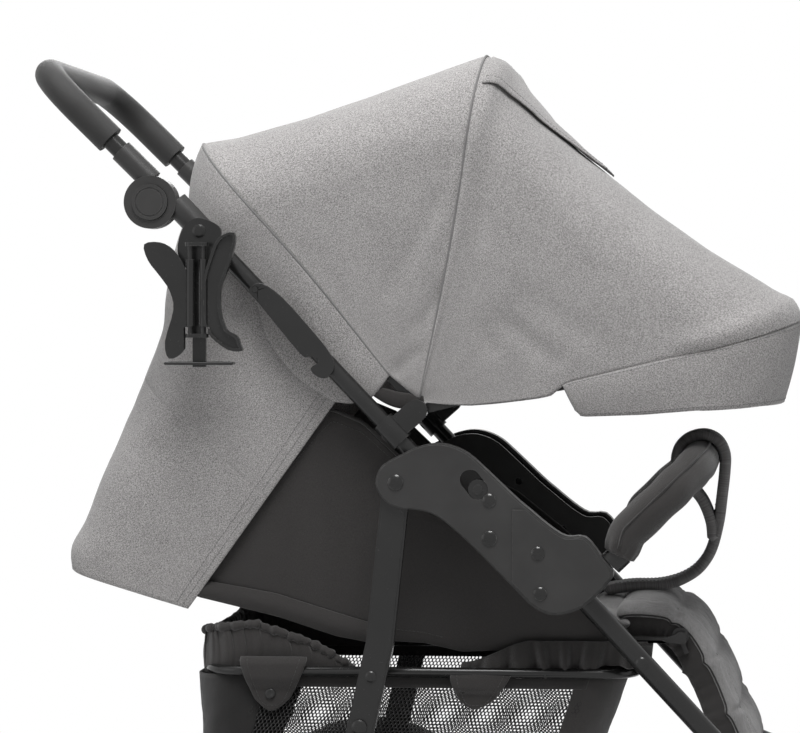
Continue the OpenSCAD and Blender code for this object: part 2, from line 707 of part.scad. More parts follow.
// Sleeve end and half disc around the hub axis; the two halves meet face to face
hub_t = 13.7;
module hub_sleeve(from, to, at, dir, d) {
    a = at + dir*from;
    b = at + dir*to;
    rod([a[0], arm_y, a[1]], [b[0], arm_y, b[1]], d);
}
module hub_lower(s) {
    foot = fold_pivot + along_tube*hub_along;
    tube_end = fold_pivot + along_tube*(upper_tube_len - 13.9);
    color([0.13, 0.13, 0.13]) placed() on_side(s) difference() {
        union() {
            hub_sleeve(-66, -18, foot, along_tube, 27);
            cross_pin(hub, hub_r, arm_y - hub_t, arm_y - 0.15);
        }
        rod([fold_pivot[0], arm_y, fold_pivot[1]], [tube_end[0], arm_y, tube_end[1]], upper_tube_d + 0.1);
        cross_pin(hub, hub_r + gap, arm_y - 0.15, arm_y + 30);
        cross_pin(hub, 6 + run, arm_y - 30, arm_y + 30);
    }
}
handle_dir = [-cos(handle_slope), sin(handle_slope)];
module hub_upper(s) {
    color([0.13, 0.13, 0.13]) placed() on_side(s) difference() {
        union() {
            hub_sleeve(16, 62, handle_foot, handle_dir, 25);
            cross_pin(hub, hub_r, arm_y + 0.15, arm_y + hub_t);
            cross_pin(hub, 6, arm_y - hub_t, arm_y + 1);
        }
        hub_sleeve(34, 90, handle_foot, handle_dir, handle_tube_d + 0.1);
        cross_pin(hub, hub_r + gap, arm_y - 30, arm_y - hub_t);
        difference() {
            cross_pin(hub, hub_r + gap, arm_y - 30, arm_y + 0.15);
            cross_pin(hub, 6, arm_y - 30, arm_y + 1);
        }
        // Recess for the button
        cross_pin(hub, 19 + gap, arm_y + hub_t - 5, arm_y + hub_t + 1);
    }
}
module hub_button(s) {
    color([0.16, 0.16, 0.16]) placed() on_side(s) difference() {
        cross_pin(hub, 19, arm_y + hub_t - 1.5, arm_y + hub_t + 3);
        difference() {
            cross_pin(hub, 15.5, arm_y + hub_t + 2.2, arm_y + hub_t + 4);
            cross_pin(hub, 14, arm_y + hub_t + 2.1, arm_y + hub_t + 5);
        }
    }
}

// The handle is a U drawn flat in its own plane, from its sleeves to the cross bar
module on_handle() {
    translate([handle_foot[0], 0, handle_foot[1]]) rotate([0, handle_slope - 180, 0]) mirror([0, 0, 1]) children();
}
module u_path(from, reach, y, bend, d) {
    for (s = [-1, 1]) on_side(s) {
        rod([from, y, 0], [reach - bend, y, 0], d);
        translate([reach - bend, y - bend, 0]) rotate_extrude(angle = 90)
            translate([bend, 0]) circle(d = d);
    }
    rod([reach, -y + bend, 0], [reach, y - bend, 0], d);
}
module handle_bar() {
    color([0.04, 0.04, 0.04]) placed() on_handle() u_path(34.2, handle_reach, arm_y, handle_bend_r, handle_tube_d);
}
module foam_grip() {
    color([0.17, 0.17, 0.17]) placed() on_handle() difference() {
        u_path(78, handle_reach, arm_y, handle_bend_r, grip_d);
        u_path(70, handle_reach, arm_y, handle_bend_r, handle_tube_d);
    }
}

// Lever that hooks over the rear leg's stud when the frame is folded
module fold_hook() {
    outline = [[0, 0], [11, 2], [32, -13], [62, -46], [80, -68], [87, -83], [84, -93], [76, -98],
        [66, -94], [62, -87], [70, -81], [68, -76], [60, -75], [51, -72], [17, -31], [2, -13],
        [-4, -6]];
    color([0.12, 0.12, 0.12]) placed() mirror([0, 1, 0]) difference() {
        side(tube_out - 1, tube_out + 3.5) translate(hook_pivot) polygon(smooth(outline, 3));
        cross_pin(hook_pivot + [3, -4], 3 + run, tube_out - 2, tube_out + 5);
    }
}

// ---------- cup holder on the right side ----------

cup_y = arm_y + 13.8;
jaw_y = cup_y + 21;
jaw_pins = [-8, 6];
module cup_bracket() {
    teardrop = [[-2, 14], [12, 10], [22, 2], [20, -12], [10, -34], [0, -46], [-14, -40], [-24, -22],
        [-20, 0], [-12, 10]];
    color([0.13, 0.13, 0.13]) placed() mirror([0, 1, 0]) {
        side(cup_y, cup_y + 6) translate(cup_pivot) polygon(smooth(teardrop, 3));
        rivet_head(cup_pivot + [-1, 0], 7, cup_y + 6, 2);
        // Two ears carry the hinge pins of the jaws
        for (x = jaw_pins) translate([cup_pivot[0] + x, jaw_y, cup_pivot[1] - 108]) cylinder(h = 92, r = 2.5);
        for (z = [-112, -16]) translate([cup_pivot[0], 0, cup_pivot[1] + z]) {
            for (x = jaw_pins) translate([x, jaw_y, 0]) cylinder(h = 4, r = 5.5);
            translate([jaw_pins[0], cup_y + 5, 0]) cube([jaw_pins[1] - jaw_pins[0], jaw_y - cup_y, 4]);
        }
        side(cup_y, cup_y + 6) translate(cup_pivot + [-8, -143]) square([14, 120]);
        // Pin of the storage hook
        cross_pin(hook_pivot + [3, -4], 3, tube_out - 2, tube_out + 4);
    }
}
module cup_jaw(outline, x) {
    color([0.13, 0.13, 0.13]) placed() mirror([0, 1, 0]) difference() {
        union() {
            side(cup_y + 17, cup_y + 21) translate(cup_pivot) polygon(smooth(outline, 3));
            side(cup_y + 21, cup_y + 26) difference() {
                translate(cup_pivot) polygon(smooth(outline, 3));
                translate(cup_pivot) polygon(smooth(shrunk(outline, 3), 3));
            }
            translate([cup_pivot[0] + x, jaw_y, cup_pivot[1] - 100]) cylinder(h = 70, r = 4.5);
        }
        translate([cup_pivot[0] + x, jaw_y, cup_pivot[1] - 130]) cylinder(h = 130, r = 2.5 + run);
        for (z = [-136, -29]) translate([cup_pivot[0] + x, jaw_y, cup_pivot[1] + z]) cylinder(h = 35, r = 7);
    }
}
module cup_jaw_rear() {
    cup_jaw([[-57, -14], [-53, -31], [-40, -48], [-30, -63], [-26, -83], [-35, -116], [-31, -134],
        [-17, -128], [-8, -110], [-6, -94], [-9, -85], [-10, -60], [-14, -38], [-26, -20], [-40, -12]], jaw_pins[0]);
}
module cup_jaw_front() {
    cup_jaw([[39, -2], [39, -19], [31, -44], [25, -61], [25, -84], [31, -103], [42, -110], [46, -120],
        [47, -126], [33, -125], [15, -112], [6, -96], [4, -79], [5, -58], [12, -31], [22, -8]], jaw_pins[1]);
}
module cup_base() {
    color([0.1, 0.1, 0.1]) placed() mirror([0, 1, 0])
        translate([cup_pivot[0], cup_y + 8.1, cup_pivot[1] - 139]) {
        rod([-34, 0, 0], [36, 0, 0], 3.4);
        for (x = [-34, 36]) {
            rod([x, 0, 0], [x, 16, 0], 3.4);
            for (y = [0, 16]) translate([x, y, 0]) sphere(d = 3.4);
        }
        rod([-34, 16, 0], [36, 16, 0], 3.4);
    }
}

// ---------- hood ----------

module canopy_clips() {
    foot = fold_pivot + along_tube*152;
    color([0.12, 0.12, 0.12]) placed() for (s = [-1, 1]) on_side(s) {
        difference() {
            union() {
                rod([(foot - along_tube*15)[0], arm_y, (foot - along_tube*15)[1]],
                    [(foot + along_tube*15)[0], arm_y, (foot + along_tube*15)[1]], upper_tube_d + 7);
                side(arm_y - 6, arm_y + 6) hull() {
                    translate(foot) circle(r = 12);
                    translate(canopy_pivot) circle(r = 12);
                }
            }
            rod([(foot - along_tube*20)[0], arm_y, (foot - along_tube*20)[1]],
                [(foot + along_tube*20)[0], arm_y, (foot + along_tube*20)[1]], upper_tube_d + 0.1);
        }
        // Pin that the bows turn on
        cross_pin(canopy_pivot, 4, rear_bow_y - bow_t, arm_y - 6);
    }
}

// U-shaped bow from pivot to pivot, drawn flat and turned to its angle
function bow_shape(w, len, r) = concat(
    [[0, w], [len - r, w]],
    [for (a = [80:-10:10]) [len - r + r*cos(a), w - r + r*sin(a)]],
    [[len, w - r], [len, -w + r]],
    [for (a = [-10:-10:-80]) [len - r + r*cos(a), -w + r + r*sin(a)]],
    [[len - r, -w], [0, -w]]);
module bow(w, len, angle, bored) {
    color([0.1, 0.1, 0.1]) placed() translate([canopy_pivot[0], 0, canopy_pivot[1]])
    rotate([0, -angle, 0]) difference() {
        union() {
            translate([0, 0, -bow_w/2]) linear_extrude(bow_w) difference() {
                polygon(bow_shape(w, len, bow_corner_r));
                translate([-0.01, 0]) polygon(bow_shape(w - bow_t, len - bow_t, bow_corner_r - bow_t));
            }
            for (s = [-1, 1]) on_side(s) cross_pin([0, 0], bow_w/2 + 3, w - bow_t, w);
        }
        for (s = [-1, 1]) on_side(s) cross_pin([0, 0], 4 + bored, w - bow_t - 1, w + 1);
    }
}
module canopy_rear_bow() { bow(rear_bow_y, rear_bow_len, rear_bow_angle, 0); }
module canopy_mid_bow() { bow(mid_bow_y, mid_bow_len, mid_bow_angle, run); }
module canopy_front_bow() { bow(front_bow_y, front_bow_len, front_bow_angle, run); }

// Point on a bow's outer edge: share v runs over the arch, dist is its start beside the pivot
function bow_point(len, angle, v, start) = let (
    w = front_bow_y + gap + 0.1, r = bow_corner_r, l = len + 3,
    a = l - r - start, b = 90*r*PI/180, c = 2*(w - r), total = 2*a + 2*b + c,
    d = min(v, 1 - v)*total,
    q = d < a ? [start + d, w]
        : d < a + b ? let (t = (d - a)/b*90) [l - r + r*sin(t), w - r + r*cos(t)]
        : [l, w - r - (d - a - b)],
    y = (v < 0.5 ? -1 : 1)*q[1])
    [canopy_pivot[0] + q[0]*cos(angle), y, canopy_pivot[1] + q[0]*sin(angle)];

// Cloth stretched between two bows, sagging a little in between
module hood_panel(l0, a0, l1, a1, start) {
    f = function(u, v) mix(bow_point(l0, a0, v, start), bow_point(l1, a1, v, start), u);
    g = grid(6, 44, f);
    color([0.58, 0.57, 0.57]) placed() between(offset_grid(g, cloth_t), g);
}
module canopy_rear_panel() { hood_panel(rear_bow_len + 9, rear_bow_angle + 1.5, mid_bow_len, mid_bow_angle + 0.4, 34); }
module canopy_front_panel() { hood_panel(mid_bow_len, mid_bow_angle - 0.4, front_bow_len, front_bow_angle + 1.4, 34); }

// Stiff brim that hangs from the front bow
module canopy_brim() {
    share = 0.17;
    f = function(u, v) let (
        w = share + (1 - 2*share)*v,
        p = bow_point(front_bow_len, front_bow_angle, w, 34),
        d = brim_depth*(0.3 + 0.7*pow(sin(180*v), 0.8)))
        p + [-14*u*pow(sin(180*v), 2), 0, -4 - d*u];
    g = grid(4, 44, f);
    color([0.58, 0.57, 0.57]) placed() between(offset_grid(g, 1.6), offset_grid(g, 0));
}

// ---------- curtain behind the backrest ----------

module rear_curtain() {
    top_front = [-74, 680];
    top_back = [-245, 806];
    low_front = [-229, 462];
    low_back = back_hinge - fold_pivot + [100, 543] + [-cos(back_slope), sin(back_slope)]*back_len
        + [9.2, -10];
    f = function(u, v) let (
        front = mix(top_front, low_front, v), back = mix(top_back, low_back, v) + [28*sin(180*min(1, v/0.9)), 0],
        w = mix(rear_bow_y - bow_t - 2, seat_half_w + 14, v),
        k = min(u, 1 - u)*2,
        p = k < 0.55 ? mix(front, back, k/0.55) : back + [-14*min(1, (k - 0.55)/0.15) + 3*(1 - v)*sin(720*k), 0],
        y = k < 0.45 ? w : w*sqrt(max(0, 1 - pow((k - 0.45)/0.55, 2.4))))
        [p[0] + fold_pivot[0] - 100, (u < 0.5 ? -1 : 1)*y, p[1] + fold_pivot[1] - 543];
    g = grid(44, 10, f);
    color([0.56, 0.55, 0.55]) placed() between(offset_grid(g, 0.8), offset_grid(g, -0.8));
}

side_cover(-1);  // side_cover_r
side_cover(1);  // side_cover_l
inner_shell(-1);  // inner_shell_r
inner_shell(1);  // inner_shell_l
plate_rivets();
front_leg(-1);  // front_leg_r
front_leg(1);  // front_leg_l
fork_head();
seat_base();
seat_pad();
side_panel(-1);  // side_panel_r
side_panel(1);  // side_panel_l
crotch_strap();
fold_lock();
bumper_bar();
bumper_cover();
upper_tube(-1);  // upper_tube_r
upper_tube(1);  // upper_tube_l
hub_lower(-1);  // hub_lower_r
hub_lower(1);  // hub_lower_l
canopy_clips();
canopy_rear_bow();
canopy_mid_bow();
canopy_front_bow();
canopy_rear_panel();
canopy_front_panel();
canopy_brim();
fold_hook();
cup_bracket();
cup_jaw_rear();
cup_jaw_front();
cup_base();
handle_bar();
foam_grip();
hub_upper(-1);  // hub_upper_r
hub_upper(1);  // hub_upper_l
hub_button(-1);  // hub_button_r
hub_button(1);  // hub_button_l
backrest_board();
backrest_pad();
harness();
rear_curtain();
legrest_board();
legrest_pad();
rear_leg(-1);  // rear_leg_r
rear_leg(1);  // rear_leg_l
rear_axle();
brake_pedal();
brake_pin(-1);  // brake_pin_r
brake_pin(1);  // brake_pin_l
basket_ring();
basket_bag();
rim(rear_axle_at, rear_wheel_r, -wheel_y, true);  // rear_rim_r
rim(rear_axle_at, rear_wheel_r, wheel_y, true);  // rear_rim_l
tyre(rear_axle_at, rear_wheel_r, -wheel_y);  // rear_tyre_r
tyre(rear_axle_at, rear_wheel_r, wheel_y);  // rear_tyre_l
front_fork();
rim(front_axle_at, front_wheel_r, 0, false);  // front_rim
tyre(front_axle_at, front_wheel_r, 0);  // front_tyre
swivel_knob();
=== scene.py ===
# %% [markdown]
# # Jogging stroller
# This lesson dresses a CAD model of a jogging stroller so that it looks like the photographed one.
# The rigid frame, plates, hubs and wheels come from the CAD and keep their shapes. They get
# better materials here. Everything sewn, such as the hood, the curtain behind the seat, the
# padded seat and the basket, is built here as real cloth forms, because a CAD solid can't show
# how cloth curves, folds and carries its seams.

# %% Load the frame
import math

import bpy
import numpy as np
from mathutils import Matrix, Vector, noise


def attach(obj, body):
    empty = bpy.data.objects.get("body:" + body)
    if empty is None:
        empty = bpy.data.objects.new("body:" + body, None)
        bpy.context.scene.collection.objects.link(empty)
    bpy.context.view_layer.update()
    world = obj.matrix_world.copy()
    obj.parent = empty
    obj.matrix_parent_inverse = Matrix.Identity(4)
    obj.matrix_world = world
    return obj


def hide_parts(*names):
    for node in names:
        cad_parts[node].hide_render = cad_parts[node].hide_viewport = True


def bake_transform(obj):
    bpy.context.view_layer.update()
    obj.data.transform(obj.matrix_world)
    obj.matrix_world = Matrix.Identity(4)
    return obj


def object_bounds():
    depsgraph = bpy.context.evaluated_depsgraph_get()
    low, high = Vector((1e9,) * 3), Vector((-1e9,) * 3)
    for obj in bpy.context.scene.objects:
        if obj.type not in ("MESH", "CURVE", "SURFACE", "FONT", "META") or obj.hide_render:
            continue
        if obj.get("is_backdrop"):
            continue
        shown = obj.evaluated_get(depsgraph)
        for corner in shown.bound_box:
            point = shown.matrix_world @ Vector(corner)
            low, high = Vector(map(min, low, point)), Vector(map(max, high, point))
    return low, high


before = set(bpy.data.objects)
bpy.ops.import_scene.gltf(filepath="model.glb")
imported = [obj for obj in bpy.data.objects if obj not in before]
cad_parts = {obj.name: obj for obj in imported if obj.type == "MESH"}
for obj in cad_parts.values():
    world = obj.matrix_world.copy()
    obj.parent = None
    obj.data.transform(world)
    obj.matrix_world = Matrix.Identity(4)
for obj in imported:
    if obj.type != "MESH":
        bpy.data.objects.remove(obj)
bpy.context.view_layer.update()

# %% [markdown]
# All shapes are worked out in millimetres with x forward from a rear reference plane, y to the
# left and z up from the floor, as a stroller maker would draw the side view. One function turns
# them into Blender's metres. The other helpers make the three kinds of mesh this lesson needs:
# a cloth sheet with a real thickness, a round strand swept along a path, and rows of stitches.
# Modelling in code rather than by hand keeps every seam on the cloth that it closes.

# %% Places
X_MID = 123.879     # the frame's middle, ahead of the rear reference plane


def row(points):
    """Points in millimetres of the side view, as metres of the frame."""
    points = np.asarray(points, float)
    return (points - [X_MID, 0, 0]) / 1000


def anchor(x, z):
    """A place in the middle plane, as the frame's metres, for a piece that bends between bodies."""
    return tuple(row([(x, 0.0, z)])[0])


print("rear reference plane at", anchor(0, 0)[0], "m")


# %% Paths and noise

def smooth_path(points, steps=8):
    """A Catmull-Rom curve through the points."""
    p = np.asarray(points, float)
    p = np.vstack([2 * p[0] - p[1], p, 2 * p[-1] - p[-2]])
    out = []
    for a, b, c, d in zip(p[:-3], p[1:-2], p[2:-1], p[3:]):
        for k in range(steps):
            t = k / steps
            out.append(0.5 * (2 * b + (c - a) * t + (2 * a - 5 * b + 4 * c - d) * t**2
                              + (3 * b - a - 3 * c + d) * t**3))
    return np.array(out + [p[-2]])


def length_along(points):
    """Distance from the first point to each point."""
    steps = np.linalg.norm(np.diff(points, axis=0), axis=1)
    return np.concatenate([[0], np.cumsum(steps)])


def resample(points, count=None, pitch=None):
    """Evenly spaced points along a path."""
    points = np.asarray(points, float)
    s = length_along(points)
    if count is None:
        count = max(2, int(round(s[-1] / pitch)) + 1)
    want = np.linspace(0, s[-1], count)
    return np.stack([np.interp(want, s, points[:, k]) for k in range(points.shape[1])], 1)


def blend01(t):
    """A soft step from 0 to 1."""
    t = np.clip(t, 0, 1)
    return t * t * (3 - 2 * t)


def ripple(p, size, seed=0.0):
    """Smooth noise from -1 to 1 with bumps about this many millimetres long."""
    return noise.noise(Vector((p[0] / size + seed, p[1] / size - seed, p[2] / size + 2 * seed)))


print("noise at two places:", round(ripple((10, 0, 0), 30), 3), round(ripple((20, 0, 0), 30), 3))


# %% Plain mesh
def add_mesh(name, points, faces, material, uvs=None):
    """A smooth-shaded object from points in millimetres; uvs are metres of cloth per point."""
    mesh = bpy.data.meshes.new(name)
    mesh.from_pydata(row(points).tolist(), [], faces)
    mesh.polygons.foreach_set("use_smooth", [True] * len(mesh.polygons))
    if uvs is not None:
        layer = mesh.uv_layers.new(name="cloth")
        corners = np.zeros(len(mesh.loops), int)
        mesh.loops.foreach_get("vertex_index", corners)
        layer.data.foreach_set("uv", np.asarray(uvs, float)[corners].ravel())
    mesh.update()
    obj = bpy.data.objects.new(name, mesh)
    bpy.context.scene.collection.objects.link(obj)
    mesh.materials.append(material)
    return obj


print("meshes before the first cloth:", len(bpy.data.meshes))

# %% [markdown]
# A sheet of cloth has two faces and a rim. Blender's Solidify modifier could add them, but the
# sheet needs more than a thickness: its threads have to keep their size, so each point also gets
# the distance along the cloth as its UV place, and later pieces such as stitches have to find
# their way over its outer face. A small class that keeps the grid can do all three.

# %% Cloth sheet
class Cloth:
    """A sheet of cloth over a grid of points, with a rounded rim all round."""

    RIM = 0.45          # how far the rim stands out, as a share of the thickness

    def __init__(self, name, grid, thick, material, relief=None, outward=1):
        g = np.asarray(grid, float)
        du, dv = np.gradient(g, axis=0), np.gradient(g, axis=1)
        n = np.cross(du, dv) * outward
        n /= np.maximum(np.linalg.norm(n, axis=2, keepdims=True), 1e-9)
        if relief is not None:
            g = g + n * relief[..., None]
        self.grid, self.normal, self.thick = g, n, thick
        rows, cols = g.shape[:2]
        self.u_mm = length_along(g[:, cols // 2])
        self.v_mm = length_along(g[rows // 2])
        uu = np.mean([length_along(g[:, j]) for j in range(0, cols, max(1, cols // 8))], axis=0)
        vv = np.mean([length_along(g[i]) for i in range(0, rows, max(1, rows // 8))], axis=0)
        uv = np.stack(np.meshgrid(uu, vv, indexing="ij"), 2).reshape(-1, 2) / 1000
        top = (g + n * thick / 2).reshape(-1, 3)
        low = (g - n * thick / 2).reshape(-1, 3)
        edge = ([(0, j) for j in range(cols)] + [(i, cols - 1) for i in range(1, rows)]
                + [(rows - 1, j) for j in range(cols - 2, -1, -1)]
                + [(i, 0) for i in range(rows - 2, 0, -1)])
        rim = []
        for i, j in edge:
            a = g[min(max(i, 1), rows - 2), min(max(j, 1), cols - 2)]
            out = g[i, j] - a
            out /= max(np.linalg.norm(out), 1e-9)
            rim.append(g[i, j] + out * thick * self.RIM)
        points = np.vstack([top, low, rim])
        m = rows * cols
        faces = []
        for i in range(rows - 1):
            for j in range(cols - 1):
                a, b, c, d = (i * cols + j, i * cols + j + 1,
                              (i + 1) * cols + j + 1, (i + 1) * cols + j)
                quad = (a, d, c, b) if outward > 0 else (a, b, c, d)
                faces += [quad, tuple(q + m for q in reversed(quad))]
        for k, (i, j) in enumerate(edge):
            i2, j2 = edge[(k + 1) % len(edge)]
            a, b = i * cols + j, i2 * cols + j2
            r, r2 = 2 * m + k, 2 * m + (k + 1) % len(edge)
            one, two = (a, b, r2, r), (r, r2, b + m, a + m)
            faces += [one, two] if outward > 0 else [one[::-1], two[::-1]]
        uvs = np.vstack([uv, uv, [uv[i * cols + j] for i, j in edge]])
        self.obj = add_mesh(name, points, faces, material, uvs)

    def at(self, u, v, lift=0.0):
        """Point on the outer face at shares u and v, and the normal there."""
        rows, cols = self.grid.shape[:2]
        x, y = np.clip(u, 0, 1) * (rows - 1), np.clip(v, 0, 1) * (cols - 1)
        i, j = min(int(x), rows - 2), min(int(y), cols - 2)
        fx, fy = x - i, y - j
        corner = ((1 - fx) * (1 - fy), (1 - fx) * fy, fx * (1 - fy), fx * fy)
        take = lambda a: sum(w * q for w, q in zip(
            corner, (a[i, j], a[i, j + 1], a[i + 1, j], a[i + 1, j + 1])))
        n = take(self.normal)
        n = n / max(np.linalg.norm(n), 1e-9)
        return take(self.grid) + n * (self.thick / 2 + lift), n

    def line(self, shares, lift=0.0, pitch=4.0):
        """Points and normals along a line given as (u, v) shares of the grid."""
        shares = resample(shares, count=160)
        pts = np.array([self.at(u, v, lift)[0] for u, v in shares])
        nrm = np.array([self.at(u, v, lift)[1] for u, v in shares])
        both = resample(np.hstack([pts, nrm]), pitch=pitch)
        return both[:, :3], both[:, 3:]


print("a sheet's rim stands out by", Cloth.RIM, "of its thickness")


# %% Strand
def sweep(name, path, radius, material, sides=12, closed=False, shape=None, up=None):
    """A strand along a path. radius is one number, or one a point; shape(k, angle) adds to it."""
    p = np.asarray(path, float)
    count = len(p)
    r = np.full(count, float(radius)) if np.isscalar(radius) else np.asarray(radius, float)
    tangent = np.gradient(p, axis=0)
    if closed:
        tangent = (np.roll(p, -1, 0) - np.roll(p, 1, 0))
    tangent /= np.linalg.norm(tangent, axis=1, keepdims=True)
    side = np.cross(tangent[0], [0, 0, 1.0] if up is None else up)
    if np.linalg.norm(side) < 0.05:
        side = np.cross(tangent[0], [0, 1.0, 0])
    points, uvs = [], []
    along = length_along(p)
    for k in range(count):
        side = side - tangent[k] * (side @ tangent[k])
        side /= np.linalg.norm(side)
        other = np.cross(tangent[k], side)
        for q in range(sides):
            a = 2 * math.pi * q / sides
            rad = r[k] + (shape(k, a) if shape else 0)
            points.append(p[k] + rad * (side * math.cos(a) + other * math.sin(a)))
            uvs.append((along[k] / 1000, a * r[k] / 1000))
    faces = []
    for k in range(count if closed else count - 1):
        for q in range(sides):
            a, b = k * sides + q, k * sides + (q + 1) % sides
            k2 = (k + 1) % count
            faces.append((a, b, k2 * sides + (q + 1) % sides, k2 * sides + q))
    if not closed:
        for k, ends in ((0, True), (count - 1, False)):
            points.append(p[k] + tangent[k] * (-r[k] if ends else r[k]) * 0.35)
            uvs.append((along[k] / 1000, 0))
            tip = len(points) - 1
            for q in range(sides):
                a, b = k * sides + q, k * sides + (q + 1) % sides
                faces.append((b, a, tip) if ends else (a, b, tip))
    return add_mesh(name, points, faces, material, uvs)


print("strands can be open or closed, plain or gathered")


# %% Stitches
STITCH_SIDES = 5
STITCH_SHAPE = ((-0.5, -0.5), (-0.25, 0.5), (0.25, 0.5), (0.5, -0.5))   # along, up


def stitch_rows(name, rows, material, pitch=4.2, length=2.9, thick=0.42):
    """Sewing thread: one small rounded bar for each stitch, pressed into the cloth at its ends."""
    points, faces, ring = [], [], range(STITCH_SIDES)
    for path, normals in rows:
        both = resample(np.hstack([path, normals]), pitch=pitch)
        for a, b in zip(both[:-1], both[1:]):
            mid, n = (a[:3] + b[:3]) / 2, (a[3:] + b[3:]) / 2
            t = b[:3] - a[:3]
            t /= max(np.linalg.norm(t), 1e-9)
            n = n / max(np.linalg.norm(n), 1e-9)
            w = np.cross(t, n)
            start = len(points)
            for s, h in STITCH_SHAPE:
                c = mid + t * length * s + n * thick * h
                for q in ring:
                    turn = 2 * math.pi * q / STITCH_SIDES
                    points.append(c + thick * 0.8 * (w * math.cos(turn) + n * math.sin(turn)))
            for k in range(len(STITCH_SHAPE) - 1):
                first = start + k * STITCH_SIDES
                for q in ring:
                    one, two = first + q, first + (q + 1) % STITCH_SIDES
                    faces.append((one, two, two + STITCH_SIDES, one + STITCH_SIDES))
            faces.append(tuple(start + q for q in reversed(ring)))
            faces.append(tuple(len(points) - STITCH_SIDES + q for q in ring))
    obj = add_mesh(name, points, faces, material)
    print(name, len(points) // (len(STITCH_SHAPE) * STITCH_SIDES), "stitches")
    return obj


print("a stitch has", len(STITCH_SHAPE) * STITCH_SIDES, "points")

# %% [markdown]
# ## Finishes
# The real stroller has few finishes: a grey melange weave, a plain dark weave, moulded plastic,
# satin black paint on the tubes, soft foam, rubber and a little steel. Effects that several of
# them share, such as a weave or the scuffing of edges, are built once as node groups with named
# sockets, and each material sets its own numbers. The weave reads the cloth's own lengths, so
# its threads keep their real size on every piece.

# %% Node helpers
def new_group(name, inputs, outputs):
    """A shader node group with its sockets; inputs and outputs are (kind, name, default)."""
    tree = bpy.data.node_groups.new(name, "ShaderNodeTree")
    kinds = {"value": "NodeSocketFloat", "color": "NodeSocketColor", "vector": "NodeSocketVector"}
    for kind, label, default in inputs:
        s = tree.interface.new_socket(label, in_out="INPUT", socket_type=kinds[kind])
        if default is not None:
            s.default_value = default
    for kind, label in outputs:
        tree.interface.new_socket(label, in_out="OUTPUT", socket_type=kinds[kind])
    return tree, tree.nodes.new("NodeGroupInput"), tree.nodes.new("NodeGroupOutput")


def wire(tree, kind, *inputs, **props):
    """Adds a node, sets its properties and feeds its inputs in order; None leaves one alone."""
    n = tree.nodes.new("ShaderNode" + kind)
    for key, value in props.items():
        setattr(n, key, value)
    for socket, value in zip(n.inputs, inputs):
        if value is None:
            continue
        if isinstance(value, bpy.types.NodeSocket):
            tree.links.new(value, socket)
        else:
            socket.default_value = value
    return n


def math_node(tree, operation, a, b=None, clamp=False):
    return wire(tree, "Math", a, b, operation=operation, use_clamp=clamp).outputs[0]


def mix_colors(tree, share, a, b):
    n = tree.nodes.new("ShaderNodeMix")
    n.data_type = "RGBA"
    for socket, value in ((n.inputs[0], share), (n.inputs[6], a), (n.inputs[7], b)):
        if isinstance(value, bpy.types.NodeSocket):
            tree.links.new(value, socket)
        else:
            socket.default_value = value
    return n.outputs[2]


def noise_of(tree, vector, scale, detail=2.0, rough=0.55):
    n = tree.nodes.new("ShaderNodeTexNoise")
    n.inputs["Scale"].default_value = scale
    n.inputs["Detail"].default_value = detail
    n.inputs["Roughness"].default_value = rough
    if vector is not None:
        tree.links.new(vector, n.inputs["Vector"])
    return n.outputs["Fac"]


print("node helpers ready for", bpy.app.version_string)

# %% [markdown]
# Woven cloth is two sets of threads that take turns to lie on top. Photographs of cloth would
# repeat and blur close up, so the group below counts threads along the cloth in both directions
# and works out which one is on top, how high it stands and which shade its yarn has. A melange
# cloth also has light and dark flecks drawn out along the threads.

# %% Weave group
SLUB = 7.0              # threads that a yarn keeps one shade for
FLECKS = 1900.0         # flecks a metre
CLOUDS = 22.0           # broad, faint clouds a metre


